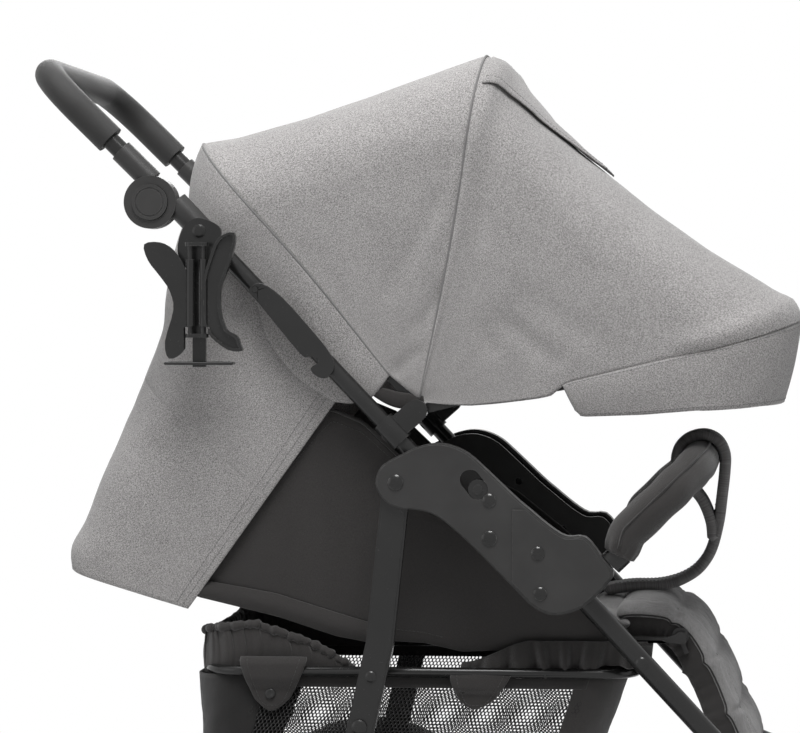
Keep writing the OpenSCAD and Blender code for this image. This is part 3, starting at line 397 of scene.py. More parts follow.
def make_weave():
    """Over-and-under threads; each yarn takes its own shade, slubs run along the threads, and
    painted shade darkens the low parts between threads.
    """
    t, i, o = new_group("woven_threads", [
        ("vector", "Cloth", None), ("value", "Threads", 1900.0), ("color", "Light", None),
        ("color", "Dark", None), ("value", "Fleck", 0.5)],
        [("color", "Color"), ("value", "Height"), ("value", "Roughness")])
    scaled = wire(t, "VectorMath", i.outputs["Cloth"], operation="SCALE")
    t.links.new(i.outputs["Threads"], scaled.inputs["Scale"])
    xyz = wire(t, "SeparateXYZ", scaled.outputs[0]).outputs
    cell = [math_node(t, "FLOOR", xyz[k]) for k in (0, 1)]
    turn = [math_node(t, "SINE", math_node(t, "MULTIPLY", math_node(t, "FRACT", xyz[k]), math.pi))
            for k in (0, 1)]
    over = math_node(t, "ABSOLUTE", math_node(t, "MODULO", math_node(t, "ADD", *cell), 2.0))
    height = math_node(t, "ADD", math_node(t, "MULTIPLY", turn[0], over),
                       math_node(t, "MULTIPLY", turn[1], math_node(t, "SUBTRACT", 1.0, over)))
    shades = []
    for across, along in ((0, 1), (1, 0)):
        slub = math_node(t, "FLOOR", math_node(t, "DIVIDE", xyz[along], SLUB))
        v = wire(t, "CombineXYZ", cell[across], slub, float(across))
        shades.append(wire(t, "TexWhiteNoise", v.outputs[0]).outputs["Value"])
    yarn = math_node(t, "ADD", math_node(t, "MULTIPLY", shades[0], over),
                     math_node(t, "MULTIPLY", shades[1], math_node(t, "SUBTRACT", 1.0, over)))
    stretch = [wire(t, "VectorMath", i.outputs["Cloth"], s, operation="MULTIPLY").outputs[0]
               for s in ((1.0, 0.28, 1.0), (0.28, 1.0, 1.0))]
    fleck = math_node(t, "ADD", noise_of(t, stretch[0], FLECKS, 2.0, 0.6),
                      noise_of(t, stretch[1], FLECKS, 2.0, 0.6))
    fleck = math_node(t, "MULTIPLY", math_node(t, "SUBTRACT", fleck, 1.0), 2.6)
    broad = math_node(t, "SUBTRACT", noise_of(t, i.outputs["Cloth"], CLOUDS, 3.0), 0.5)
    tone = math_node(t, "ADD", math_node(t, "MULTIPLY", math_node(t, "SUBTRACT", yarn, 0.5), 0.45),
                     fleck)
    tone = math_node(t, "MULTIPLY", tone, i.outputs["Fleck"])
    tone = math_node(t, "ADD", math_node(t, "ADD", tone, math_node(t, "MULTIPLY", broad, 0.25)),
                     0.5, clamp=True)
    shade = mix_colors(t, tone, i.outputs["Dark"], i.outputs["Light"])
    # Painted shade: the colour darkens towards black where a thread dips low between its
    # neighbours.
    thread_gap_shade = math_node(t, "MULTIPLY", math_node(t, "SUBTRACT", 1.0, height), 0.22)
    t.links.new(mix_colors(t, thread_gap_shade, shade, (0.0, 0.0, 0.0, 1.0)), o.inputs["Color"])
    t.links.new(math_node(t, "ADD", height, math_node(t, "MULTIPLY", yarn, 0.4)),
                o.inputs["Height"])
    t.links.new(math_node(t, "SUBTRACT", 0.97, math_node(t, "MULTIPLY", height, 0.14)),
                o.inputs["Roughness"])
    return t


WEAVE = make_weave()
print(WEAVE.name, len(WEAVE.nodes), "nodes")

# %% [markdown]
# Moulded plastic, foam and paint share one fine grain and differ in its size and depth, so one
# group serves all. Worn edges are found by comparing the true normal with one that is rounded
# over a millimetre: they differ only at edges, and noise breaks the mark up as real rubbing does.

# %% Grain and scuff groups
WORN = (0.16, 0.158, 0.155, 1.0)


def make_grain():
    """Fine moulded grain with soft mottling, as spark-eroded moulds leave it."""
    t, i, o = new_group("moulded_grain", [
        ("color", "Base", None), ("value", "Grain", 900.0), ("value", "Mottle", 0.25),
        ("value", "Dull", 0.5)], [("color", "Color"), ("value", "Height"), ("value", "Roughness")])
    place = wire(t, "TexCoord").outputs["Object"]
    scaled = wire(t, "VectorMath", place, operation="SCALE")
    t.links.new(i.outputs["Grain"], scaled.inputs["Scale"])
    pits = wire(t, "TexVoronoi", scaled.outputs[0]).outputs["Distance"]
    fine = noise_of(t, scaled.outputs[0], 0.6, 3.0, 0.7)
    broad = noise_of(t, place, 14.0, 4.0)
    cloud = math_node(t, "MULTIPLY", math_node(t, "SUBTRACT", broad, 0.5), i.outputs["Mottle"])
    light = mix_colors(t, math_node(t, "ADD", cloud, 0.06, clamp=True), i.outputs["Base"], WORN)
    t.links.new(light, o.inputs["Color"])
    t.links.new(math_node(t, "ADD", pits, math_node(t, "MULTIPLY", fine, 0.7)),
                o.inputs["Height"])
    spread = math_node(t, "MULTIPLY", math_node(t, "SUBTRACT", fine, 0.5), 0.3)
    t.links.new(math_node(t, "ADD", math_node(t, "ADD", spread, i.outputs["Dull"]), cloud),
                o.inputs["Roughness"])
    return t


def make_scuff():
    """A mask that is 1 on worn edges: where a rounded normal departs from the flat one."""
    t, i, o = new_group("edge_scuff", [("value", "Width", 0.0012), ("value", "Amount", 0.5)],
                        [("value", "Mask")])
    soft = t.nodes.new("ShaderNodeBevel")
    soft.samples = 4
    t.links.new(i.outputs["Width"], soft.inputs["Radius"])
    flat = wire(t, "NewGeometry").outputs["Normal"]
    same = wire(t, "VectorMath", soft.outputs[0], flat, operation="DOT_PRODUCT").outputs["Value"]
    edge = math_node(t, "MULTIPLY", math_node(t, "SUBTRACT", 1.0, same), 5.0, clamp=True)
    rub = noise_of(t, wire(t, "TexCoord").outputs["Object"], 160.0, 4.0, 0.65)
    rub = math_node(t, "MULTIPLY", math_node(t, "SUBTRACT", rub, 0.42), 4.0, clamp=True)
    t.links.new(math_node(t, "MULTIPLY", math_node(t, "MULTIPLY", edge, rub),
                          i.outputs["Amount"]), o.inputs["Mask"])
    return t


GRAIN, SCUFF = make_grain(), make_scuff()
print("groups", [g.name for g in bpy.data.node_groups])


# %% Material makers
def grey(value, warm=0.0):
    """A linear grey as an RGBA colour; warm shifts it a little towards red."""
    return (value * (1 + warm), value, value * (1 - warm * 0.4), 1.0)


def new_material(name, roughness=0.6, **settings):
    """A material with a Principled shader whose plain numbers stand on its own sockets."""
    m = bpy.data.materials.new(name)
    m.use_nodes = True
    shader = m.node_tree.nodes["Principled BSDF"]
    shader.inputs["Roughness"].default_value = roughness
    for key, value in settings.items():
        shader.inputs[key.replace("_", " ")].default_value = value
    return m, m.node_tree, shader


def use_group(tree, group, **values):
    n = tree.nodes.new("ShaderNodeGroup")
    n.node_tree = group
    for key, value in values.items():
        n.inputs[key].default_value = value
    return n


def bump(tree, shader, height, distance, strength=1.0):
    n = tree.nodes.new("ShaderNodeBump")
    n.inputs["Strength"].default_value = strength
    n.inputs["Distance"].default_value = distance
    tree.links.new(height, n.inputs["Height"])
    tree.links.new(n.outputs["Normal"], shader.inputs["Normal"])


def cloth_material(name, light, dark, threads=1900.0, fleck=0.5, coords="UV", **settings):
    m, t, shader = new_material(name, Sheen_Weight=0.25, Sheen_Roughness=0.5,
                                Specular_IOR_Level=0.25, **settings)
    w = use_group(t, WEAVE, Threads=threads, Light=light, Dark=dark, Fleck=fleck)
    t.links.new(wire(t, "TexCoord").outputs[coords], w.inputs["Cloth"])
    t.links.new(w.outputs["Color"], shader.inputs["Base Color"])
    t.links.new(w.outputs["Roughness"], shader.inputs["Roughness"])
    bump(t, shader, w.outputs["Height"], 0.00025, 0.6)
    return m


def moulded_material(name, base, grain=900.0, dull=0.5, mottle=0.25, scuff=0.5, depth=0.00008,
                     scuff_color=WORN, **settings):
    m, t, shader = new_material(name, **settings)
    g = use_group(t, GRAIN, Base=base, Grain=grain, Mottle=mottle, Dull=dull)
    s = use_group(t, SCUFF, Amount=scuff)
    t.links.new(mix_colors(t, s.outputs["Mask"], g.outputs["Color"], scuff_color),
                shader.inputs["Base Color"])
    t.links.new(g.outputs["Roughness"], shader.inputs["Roughness"])
    bump(t, shader, g.outputs["Height"], depth, 0.5)
    return m


print("makers ready for", WEAVE.name, "and", GRAIN.name)

# %% [markdown]
# Each finish takes a light and a dark yarn, or one base colour, with its own grain, gloss and
# wear. The numbers were found by comparing renders with the photograph: the hood is a light grey
# melange, the seat's quilting a little calmer, and all plastics are near black but never quite,
# because a pure black shows no form.

# %% Cloth finishes
melange = cloth_material("grey_melange_weave", grey(0.52, 0.035), grey(0.14, 0.035), fleck=1.1)
melange_pad = cloth_material("grey_quilt_weave", grey(0.36, 0.02), grey(0.13, 0.02), fleck=0.5,
                             coords="Object")
# Welt cloth: a darker grey than the hood's melange, which paints the shade of the crevice along
# each seam.
seam_shade_welt_cloth = cloth_material("grey_welt_painted_seam_shade", grey(0.27, 0.02), grey(0.12, 0.02), fleck=0.4)
dark_cloth = cloth_material("dark_weave", grey(0.046, 0.08), grey(0.020, 0.08), threads=2100.0,
                            fleck=0.4)
black_cloth = cloth_material("black_lining", grey(0.020, 0.05), grey(0.008, 0.05), fleck=0.4)
binding = cloth_material("dark_binding_tape", grey(0.034, 0.06), grey(0.014, 0.06),
                         threads=1500.0, fleck=0.5)
strap_weave = cloth_material("strap_weave", grey(0.27, 0.03), grey(0.10, 0.03), fleck=0.6)
webbing = cloth_material("harness_webbing", grey(0.05, 0.03), grey(0.015, 0.03), threads=800.0,
                         fleck=0.5)
thread_grey = cloth_material("grey_sewing_thread", grey(0.20, 0.02), grey(0.09, 0.02),
                             threads=3000.0, coords="Object")
thread_dark = cloth_material("dark_sewing_thread", grey(0.075, 0.02), grey(0.03, 0.02),
                             threads=3000.0, coords="Object")
print(len(bpy.data.materials), "cloths and threads")

# %% Moulded, painted and metal finishes
plate_plastic = moulded_material("plate_plastic", grey(0.016, 0.03), dull=0.46,
                                 Specular_IOR_Level=0.30)
hub_plastic = moulded_material("hub_plastic", grey(0.017, 0.03), grain=1300.0, dull=0.36,
                               Specular_IOR_Level=0.32)
gloss_plastic = moulded_material("smooth_black_plastic", grey(0.006), grain=400.0, dull=0.22,
                                 mottle=0.10, depth=0.00003, Specular_IOR_Level=0.30)
tube_paint = moulded_material("satin_black_paint", grey(0.004), grain=260.0, dull=0.22,
                              mottle=0.06, scuff=0.15, depth=0.00002, Specular_IOR_Level=0.32)
foam = moulded_material("grip_foam", grey(0.014, 0.02), grain=2300.0, dull=0.50, mottle=0.08,
                        scuff=0.0, depth=0.00030, Specular_IOR_Level=0.28)
rubber = moulded_material("tyre_rubber", grey(0.012), grain=700.0, dull=0.78, mottle=0.5,
                          scuff=0.7, depth=0.00020, scuff_color=(0.07, 0.066, 0.06, 1.0))
steel = moulded_material("plated_steel", grey(0.34), grain=300.0, dull=0.30, mottle=0.3,
                         scuff=0.2, depth=0.00001, Metallic=1.0)
rivet_black = moulded_material("blackened_rivet", grey(0.010), grain=500.0, dull=0.16,
                               mottle=0.3, scuff=0.8, depth=0.00001,
                               scuff_color=(0.35, 0.35, 0.34, 1.0), Metallic=0.6)
brake_red = moulded_material("brake_pedal_plastic", (0.15, 0.012, 0.010, 1.0), dull=0.5,
                             scuff_color=(0.32, 0.10, 0.09, 1.0))
print(len(bpy.data.materials), "materials")

# %% [markdown]
# Rigid CAD nodes keep their meshes and only their material changes here. Their sharp edges would
# look like cut card, so a later cell rounds each edge a little with modifiers, as a mould would.

# %% Dress the CAD nodes
FINISHES = (
    (plate_plastic, "side_cover_* inner_shell_* fork_head seat_base backrest_board "
                    "legrest_board front_fork"),
    (hub_plastic, "hub_lower_* hub_upper_* hub_button_* rear_rim_* front_rim"),
    (gloss_plastic, "fold_lock canopy_clips canopy_rear_bow canopy_mid_bow canopy_front_bow "
                    "fold_hook cup_bracket cup_jaw_rear cup_jaw_front swivel_knob"),
    (tube_paint, "front_leg_* bumper_bar upper_tube_* cup_base handle_bar rear_leg_* rear_axle "
                 "basket_ring"),
    (foam, "foam_grip"), (rubber, "rear_tyre_* front_tyre"), (steel, "brake_pin_*"),
    (rivet_black, "plate_rivets"), (brake_red, "brake_pedal"))
rigid = []
for material, names in FINISHES:
    for name in names.split():
        for tag in ("r", "l") if "*" in name else ("",):
            rigid.append(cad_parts[name.replace("*", tag)])
            rigid[-1].data.materials.clear()
            rigid[-1].data.materials.append(material)
print("dressed", len(rigid), "of", len(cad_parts), "nodes")

# %% [markdown]
# ## Hood
# The hood is one tent of cloth stretched over three U-shaped bows that turn on a pivot at each
# side. A rear panel and a front panel meet in a seam over the middle bow. A skirt closes the back
# down to the frame tube, and a stiff brim hangs from the front bow. Each panel is a grid between
# two curves, the ones its seams follow, and then sags and creases a little. Building it from its
# seam curves keeps the joins closed.

# %% Bow curves
PIVOT = np.array([20.0, 675.0])         # side view: where the three bows turn
REAR_ANGLE, MIDDLE_ANGLE, FRONT_ANGLE = 128.4, 78.5, 13.5
REAR_REACH, MIDDLE_REACH, FRONT_REACH = 375, 385.6, 414.3       # pivot to crown
SIDE_Y = 201.8                          # the hood's flat sides
CORNER = 100.0                          # radius of each bow's corner
SIDE_END, BEND_END = 0.54, 0.82         # shares of the half arch: end of side, end of corner


def arch(angle, reach, start, k, swing=0.0):
    """Half arch over a bow: k is 0 at its foot beside the pivot and 1 at the crown's middle.
    The cloth pulls the crown round by swing degrees."""
    angle += swing * blend01((k - 0.2) / 0.5)
    if k < SIDE_END:
        d, y = start + (reach - CORNER - start) * k / SIDE_END, SIDE_Y
    elif k < BEND_END:
        t = (k - SIDE_END) / (BEND_END - SIDE_END) * math.pi / 2
        d, y = reach - CORNER + CORNER * math.sin(t), SIDE_Y - CORNER + CORNER * math.cos(t)
    else:
        d, y = reach, (SIDE_Y - CORNER) * (1 - k) / (1 - BEND_END)
    a = math.radians(angle)
    return np.array([PIVOT[0] + d * math.cos(a), y, PIVOT[1] + d * math.sin(a)])


def on_path(path, share):
    """Point at a share of a path's length."""
    s = length_along(path)
    return np.array([np.interp(share * s[-1], s, path[:, q]) for q in range(path.shape[1])])


def rear_seam(k):
    return arch(REAR_ANGLE, REAR_REACH, 47.8, k, 1.8)


def middle_seam(k):
    return arch(MIDDLE_ANGLE, MIDDLE_REACH, 12, k, 1.6)


print("crowns at", rear_seam(1).round(1), "and", middle_seam(1).round(1))

# %% Front hem
FRONT_HEM = np.array([(23, 684), (50, 681.2), (76, 680.5), (102, 682.5), (128, 685.6),
                      (150, 688.5), (162, 691.5), (168, 697), (174, 702.5), (184.6, 706.4),
                      (256.8, 723.5), (326, 740)], float)
BRIM_CORNER = 8                         # the hem's point where the brim begins
BRIM_START = SIDE_END * length_along(FRONT_HEM)[BRIM_CORNER] / length_along(FRONT_HEM)[-1]
HEM_DROP = 9.0                          # how far the front seam hangs under its bow


def front_edge(k):
    """Seam of the front panel: a free hem beside the pivot, then just under the front bow."""
    if k < SIDE_END:
        x, z = on_path(FRONT_HEM, k / SIDE_END)
        return np.array([x, SIDE_Y, z])
    drop = HEM_DROP * (1 - blend01((k - SIDE_END) / 0.36))
    return arch(FRONT_ANGLE, FRONT_REACH, 34, k) - [0, 0, drop]


print("brim starts at share", round(BRIM_START, 3), "of the half arch")

# %% Skirt hem
SKIRT_HEM = np.array([(-24, 692), (-30, 688), (-50, 682), (-68, 684), (-90, 697), (-109, 711),
                      (-123, 727), (-135, 742), (-143, 757), (-151, 785), (-159, 806),
                      (-173, 826), (-190, 848)], float)


SKIRT_TUCK = 4                          # how far the skirt's hem lies inside the hood's side
SKIRT_CORNER = np.array([-46, 40])      # side view: the hem's way through its rear corner
SKIRT_CROWN = np.array([-3, 6])         # and on to its middle


def skirt_edge(k):
    """Lower edge of the skirt: a rounded lobe under the tube, then across the back."""
    if k < SIDE_END:
        x, z = on_path(SKIRT_HEM, k / SIDE_END)
        return np.array([x, SIDE_Y - SKIRT_TUCK * blend01(k / SIDE_END), z])
    side = SIDE_Y - SKIRT_TUCK
    if k < BEND_END:
        t = (k - SIDE_END) / (BEND_END - SIDE_END) * math.pi / 2
        x, z = SKIRT_HEM[-1] + SKIRT_CORNER * math.sin(t)
        return np.array([x, side - CORNER + CORNER * math.cos(t), z])
    t = (k - BEND_END) / (1 - BEND_END)
    x, z = SKIRT_HEM[-1] + SKIRT_CORNER + SKIRT_CROWN * t
    return np.array([x, (side - CORNER) * (1 - t), z])


print("skirt's middle at", skirt_edge(1))

# %% [markdown]
# Stretched cloth is never quite smooth. A hand sculptor would push in each hollow; here a panel
# adds them up as heights over its grid: the sag between two bows, broad and fine unevenness, a
# few creases that run from where the cloth is pulled, and a narrow dip beside each seam.

# %% Panel builder
CREASE_GAIN = 1.9
BROAD, FINE = (1.5, 85, 3.1), (0.35, 22, 7.7)       # unevenness: height, length, seed
SEAM_DIP, SEAM_WIDTH, PANEL_SPAN = 1.3, 2.2, 300
CLOTH_THICK = 1.5


def crease(p, a, b, width, depth):
    """A soft valley (depth below 0) or ridge along the side-view line a to b."""
    a, b, q = np.array(a, float), np.array(b, float), np.array([p[0], p[2]])
    t = float((q - a) @ (b - a) / ((b - a) @ (b - a)))
    d = np.linalg.norm(q - a - (b - a) * min(1, max(0, t)))
    fade = blend01(min(t + 0.25, 1.25 - t) / 0.4)
    return CREASE_GAIN * depth * math.exp(-(d / width) ** 2) * fade


def stretch_panel(name, start_curve, end_curve, sag, creases, material, rows_u=44, cols=150):
    """Cloth between two half-arch curves, mirrored over the middle plane, v from right to left."""
    us = 0.5 - 0.5 * np.cos(np.linspace(0, math.pi, rows_u + 1))
    vs = np.linspace(0, 1, cols + 1)
    grid, relief = [], []
    for u in us:
        line, lift = [], []
        for v in vs:
            k, sign = (2 * v, -1) if v < 0.5 else (2 - 2 * v, 1)
            mirror = [1, sign, 1]
            p = start_curve(k) * (1 - u) + end_curve(k) * u
            crown = blend01((k - 0.45) / 0.35)
            h = sag(u, crown) + BROAD[0] * ripple(p * mirror, *BROAD[1:]) * u * (1 - u) * 4
            h += FINE[0] * ripple(p * mirror, *FINE[1:]) * min(1, 8 * u * (1 - u))
            h += sum(crease(p, *c) for c in creases)
            edge = min(u, 1 - u) * PANEL_SPAN
            h -= SEAM_DIP * math.exp(-(edge / SEAM_WIDTH) ** 2)
            line.append(p * mirror)
            lift.append(h)
        grid.append(line)
        relief.append(lift)
    return Cloth(name, grid, CLOTH_THICK, material, np.array(relief), outward=1)


print("cloth", CLOTH_THICK, "mm thick")


# %% Rear and front panels
REAR_SAG = ([0, 0.12, 0.35, 0.6, 0.9, 1], [0, -5.5, -8, -5, -1, 0])
FRONT_SAG = ([0, 0.05, 0.1, 0.2, 0.32, 0.55, 0.71, 0.876, 0.95, 1],
             [0, 2, -6, -14, -16, -13.5, -8, 3, 6, 0])


def rear_sag(u, crown):
    """The rear panel sinks between its bows, most over the crown."""
    return float(np.interp(u, *REAR_SAG)) * (0.12 + 0.88 * crown)


def front_sag(u, crown):
    """The front panel sinks at the crown and stands up along both of its seams."""
    seams = 1.6 * math.exp(-((u - 0.03) / 0.02) ** 2)
    return (float(np.interp(u, *FRONT_SAG)) * crown - 1.2 * (1 - crown) * math.sin(math.pi * u)
            + seams + 5.5 * math.exp(-((u - 0.965) / 0.04) ** 2) * min(1, 6 * crown))


rear_panel = stretch_panel(
    "hood_rear_cloth", rear_seam, middle_seam, rear_sag,
    [((60, 820), (20, 760), 9, -1.6), ((45, 900), (-10, 800), 12, -1.4),
     ((25, 740), (-5, 715), 6, -1.2), ((64, 930), (40, 850), 8, 1.2)], melange)
front_panel = stretch_panel(
    "hood_front_cloth", middle_seam, front_edge, front_sag,
    [((108, 1000), (84, 850), 9, -1.3), ((110, 772), (169, 725), 8, -1.7),
     ((86, 770), (100, 735), 7, -1.2), ((130, 800), (215, 745), 12, -1.0)], melange)
for cloth, low, high in ((rear_panel, "upper_frame", "hood_middle"),
                         (front_panel, "hood_middle", "hood_front")):
    print(cloth.obj.name, cloth.grid.shape[:2], "points", "from", low, "to", high)

# %% Skirt behind the rear bow
skirt = stretch_panel(
    "hood_skirt_cloth", skirt_edge, rear_seam,
    lambda u, crown: 5.0 * crown * math.sin(math.pi * u) ** 0.8 + 1.0 * math.sin(math.pi * u),
    [((-60, 705), (-120, 790), 6, -0.8)], melange, rows_u=22)
print("skirt", skirt.grid.shape[:2], "points")

# %% [markdown]
# The flap over the middle of the front panel is a roof window cover: sewn into the middle seam
# and loose along its other edges, so it stands a few millimetres off the panel. The brim is
# double cloth with a stiffener. It hangs from the front bow, shallow at the sides and deep in
# front, and leans inwards at the bottom.

# %% Window flap
FLAP_FROM, FLAP_REACH = 0.075, 0.36     # shares of the front panel, from its middle seam
FLAP_EDGE, FLAP_NARROWS = 0.674, 0.125  # its side edge's share of the half arch, and its slant


def flap_grid(rows_u=26, cols=60):
    """The front panel's own points, lifted off it by a few millimetres."""
    grid = []
    for a in np.linspace(0, 1, rows_u + 1):
        edge = FLAP_EDGE + FLAP_NARROWS * a
        line = []
        for b in np.linspace(0, 1, cols + 1):
            v = edge / 2 + (1 - edge) * b
            p, n = front_panel.at(FLAP_FROM + FLAP_REACH * a ** 0.9, v)
            near_edge = blend01(min(b, 1 - b) / 0.12)
            lift = 1.6 + 2.6 * blend01(a / 0.2) + 1.6 * near_edge * math.sin(math.pi * a)
            lift += 0.9 * ripple(p, 30, 5.0)
            line.append(p + n * lift)
        grid.append(line)
    return np.array(grid)


flap = Cloth("hood_window_flap", flap_grid(), 1.6, melange, outward=1)
print("flap", flap.grid.shape[:2], "points")


# %% Brim
BRIM_X = (174, 190, 263, 325, 394, 423)         # along the seam it hangs from
BRIM_DX = (13, 3, -5, -8, -13, -18.6)           # its lower edge from there, forward
BRIM_DZ = (-27, -38, -53, -63, -78, -87)        # and up
BRIM_US, BRIM_WS = np.linspace(0, 1, 19), np.linspace(-1, 1, 131)


def brim_grid():
    """Rows from the front seam down to the brim's edge, from the right side to the left."""
    grid = []
    for u in BRIM_US:
        line = []
        for w in BRIM_WS:
            k = BRIM_START + (1 - BRIM_START) * (1 - abs(w) ** 1.15)
            p = front_edge(k)
            x = p[0]
            p = p + [u * np.interp(x, BRIM_X, BRIM_DX), -2.0 * u * (k < BEND_END),
                     u * np.interp(x, BRIM_X, BRIM_DZ)]
            line.append(p * [1, math.copysign(1, w), 1])
        grid.append(line)
    return np.array(grid)


brim_relief = np.array([[0.5 + 2.2 * math.sin(math.pi * u) - 1.8 * math.exp(-(u / 0.03) ** 2)
                         + 0.7 * ripple((w * 400, u * 80, 0), 45, 2.0)
                         for w in BRIM_WS] for u in BRIM_US])
brim = Cloth("hood_brim_cloth", brim_grid(), 2.3, melange, brim_relief, outward=1)
print("brim", brim.grid.shape[:2], "points")

# %% Dark gusset round the pivot
SIDES = ((-1, "r"), (1, "l"))
gussets = []
for side, tag in SIDES:
    low_edge = smooth_path([(-27, 691), (-14, 683), (0, 678), (14, 678), (27, 684)])
    high_edge = smooth_path([(-24, 699), (-12, 697), (0, 694), (14, 692), (26, 690)])
    grid = [[np.insert(on_path(low_edge, u) * (1 - v) + on_path(high_edge, u) * v, 1,
                       side * (201.2 + 0.8 * math.sin(math.pi * v)))
             for v in np.linspace(0, 1, 9)] for u in np.linspace(0, 1, 25)]
    gussets.append(Cloth(f"hood_gusset_{tag}", grid, 1.6, dark_cloth, outward=-side))
print(len(gussets), "gussets of", gussets[0].grid.shape[:2], "points")

# %% [markdown]
# Seams are what makes cloth read as sewn. A texture of stitches would swim when the cloth bends,
# so each stitch is a small bar of its own, laid along a line that is given in shares of the
# sheet. Over the bows the seams also show a welt, the thin fold of both cloths that stands up.
# The welt is a darker grey than the cloth it joins: painted shade of the crevice along the seam.

# %% Hood stitches
hem_rows = [front_panel.line([(0.972, 0.002), (0.972, BRIM_START / 2 - 0.004)]),
            front_panel.line([(0.972, 1 - 0.002), (0.972, 1 - BRIM_START / 2 + 0.004)])]
front_stitches = stitch_rows("hood_front_stitches", hem_rows, thread_grey)
skirt_rows = [skirt.line([(0.06, v0), (0.06, v1)]) for v0, v1 in ((0.004, 0.25), (0.75, 0.996))]
skirt_rows += [skirt.line([(0.95, 0.01), (0.95, 0.99)])]
skirt_stitches = stitch_rows("hood_skirt_stitches", skirt_rows, thread_grey)
brim_rows = [brim.line([(u, 0.004), (u, 0.996)]) for u in (0.05, 0.955)]
brim_stitches = stitch_rows("hood_brim_stitches", brim_rows, thread_grey)
flap_rows = [flap.line([(0.02, 0.03), (0.965, 0.03), (0.965, 0.97), (0.02, 0.97)])]
flap_stitches = stitch_rows("hood_flap_stitches", flap_rows, thread_grey)

# %% Hood welts
def welt(name, seam, radius, lift):
    """A thin strand over a whole seam, from the right pivot over the crown to the left one."""
    half = np.array([seam(k) for k in np.linspace(0, 1, 90)])
    path = np.vstack([half * [1, -1, 1], half[::-1][1:]])
    print(name, round(length_along(path)[-1]), "mm")
    # The darker welt cloth paints the shade of the seam's crevice.
    return sweep(name, path + [0, 0, lift], radius, seam_shade_welt_cloth, sides=8)


middle_welt = welt("hood_middle_welt", middle_seam, 1.25, 0.2)
rear_welt = welt("hood_rear_welt", rear_seam, 1.2, 0.0)

# %% [markdown]
# A panel between two bows has to follow both when the hood folds. Here the panels and the flap
# stay where they are built, and the anchors on the bows are only worked out and printed. The
# skirt, the rear welt and the gussets ride the upper frame, the middle welt the middle bow and
# the brim the front bow.

# %% Hood riding
def on_bow(angle, distance=240):
    """An anchor on a bow's line in the side view."""
    a = math.radians(angle)
    return anchor(PIVOT[0] + distance * math.cos(a), PIVOT[1] + distance * math.sin(a))


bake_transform(rear_panel.obj)
for piece in (front_panel.obj, flap.obj, front_stitches, flap_stitches):
    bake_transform(piece)
for piece in (skirt.obj, skirt_stitches, rear_welt, gussets[0].obj, gussets[1].obj):
    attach(piece, "upper_frame")
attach(middle_welt, "hood_middle")
for piece in (brim.obj, brim_stitches):
    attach(piece, "hood_front")
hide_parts("canopy_rear_panel")
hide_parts("canopy_front_panel")
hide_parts("canopy_brim")
print("hood bends between", on_bow(REAR_ANGLE), on_bow(MIDDLE_ANGLE), on_bow(FRONT_ANGLE))

# %% [markdown]
# ## Curtain and side cloths
# A cloth curtain closes the space behind the reclined backrest, from the skirt down to the
# backrest's end. Seen from above it is a U: straight along the sides and rounded at the back. It
# is made in two sheets, an upper and a lower one, that share one line; both stay where they are
# built.

# %% Curtain shape
CURTAIN_BACK = smooth_path([(-222, 918), (-243, 892), (-257, 854), (-267, 807), (-271, 765),
                            (-284, 729), (-300, 688), (-335, 596), (-351, 553), (-366, 525),
                            (-365, 502)])
CURTAIN_FRONT = np.array([(-57, 700), (-229, 462)], float)
CURTAIN_HALF, CURTAIN_TAPER = 192, 17   # half width at the top, and how much less at the bottom
CURTAIN_ROUND, CURTAIN_SQUARE = 0.52, 0.2       # power of its plan curve, and how much less below


def curtain_row(s, cols):
    """One level of the curtain from the right front edge round the back to the left one."""
    f, b = on_path(CURTAIN_FRONT, s), on_path(CURTAIN_BACK, s)
    half = CURTAIN_HALF - CURTAIN_TAPER * s
    line = []
    power = CURTAIN_ROUND - CURTAIN_SQUARE * blend01((s - 0.5) / 0.3)
    for w in np.linspace(-1, 1, 361):
        phi = (1 - abs(w)) * math.pi / 2
        x, y = math.sin(phi) ** power, math.cos(phi) ** power
        p = f + (b - f) * x
        line.append((p[0], math.copysign(half * y, w), p[1]))
    return resample(line, count=cols + 1)


def curtain_sheet(name, s0, s1, rows_u=36, cols=150):
    """The part of the curtain between two shares of its height."""
    shares = np.linspace(s0, s1, rows_u + 1)
    grid = np.array([curtain_row(s, cols) for s in shares])
    relief = np.array([[2.2 * ripple(grid[i, j] * [1, 0.4, 0.35], 60, 1.3)
                        * math.sin(math.pi * min(1, (j + 4) / cols * 1.9)) * min(1, 5 * s)
                        + 0.5 * ripple(grid[i, j], 18, 9.0) for j in range(cols + 1)]
                       for i, s in enumerate(shares)])
    return Cloth(name, grid, CLOTH_THICK, melange, relief, outward=-1)


curtain_top = curtain_sheet("curtain_upper_cloth", 0.0, 0.5)
curtain_low = curtain_sheet("curtain_lower_cloth", 0.5, 1.0)
print("curtain sheets", curtain_top.grid.shape[:2], curtain_low.grid.shape[:2], "points")

# %% Curtain's stitches, fixed in place
hem_lines = [(0.02, 0.012), (0.98, 0.012)], [(0.02, 0.024), (0.98, 0.024)]
mirrored = [[(u, 1 - v) for u, v in line] for line in hem_lines]
top_threads, low_threads = [
    stitch_rows(f"curtain_{name}_stitches",
                [sheet.line(list(line)) for line in (*hem_lines, *mirrored)], thread_grey)
    for sheet, name in ((curtain_top, "upper"), (curtain_low, "lower"))]
for piece in (curtain_top.obj, top_threads):
    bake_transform(piece)
for piece in (curtain_low.obj, low_threads):
    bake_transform(piece)
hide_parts("rear_curtain")

# %% [markdown]
# The side cloths hang inside the tubes, from the reclined backrest to the seat. Each is a sheet
# between a lower and an upper line of the side view, with wrinkles where the slack cloth gathers,
# a piped upper edge and a stitched band over the lower one. They stay where they are built.

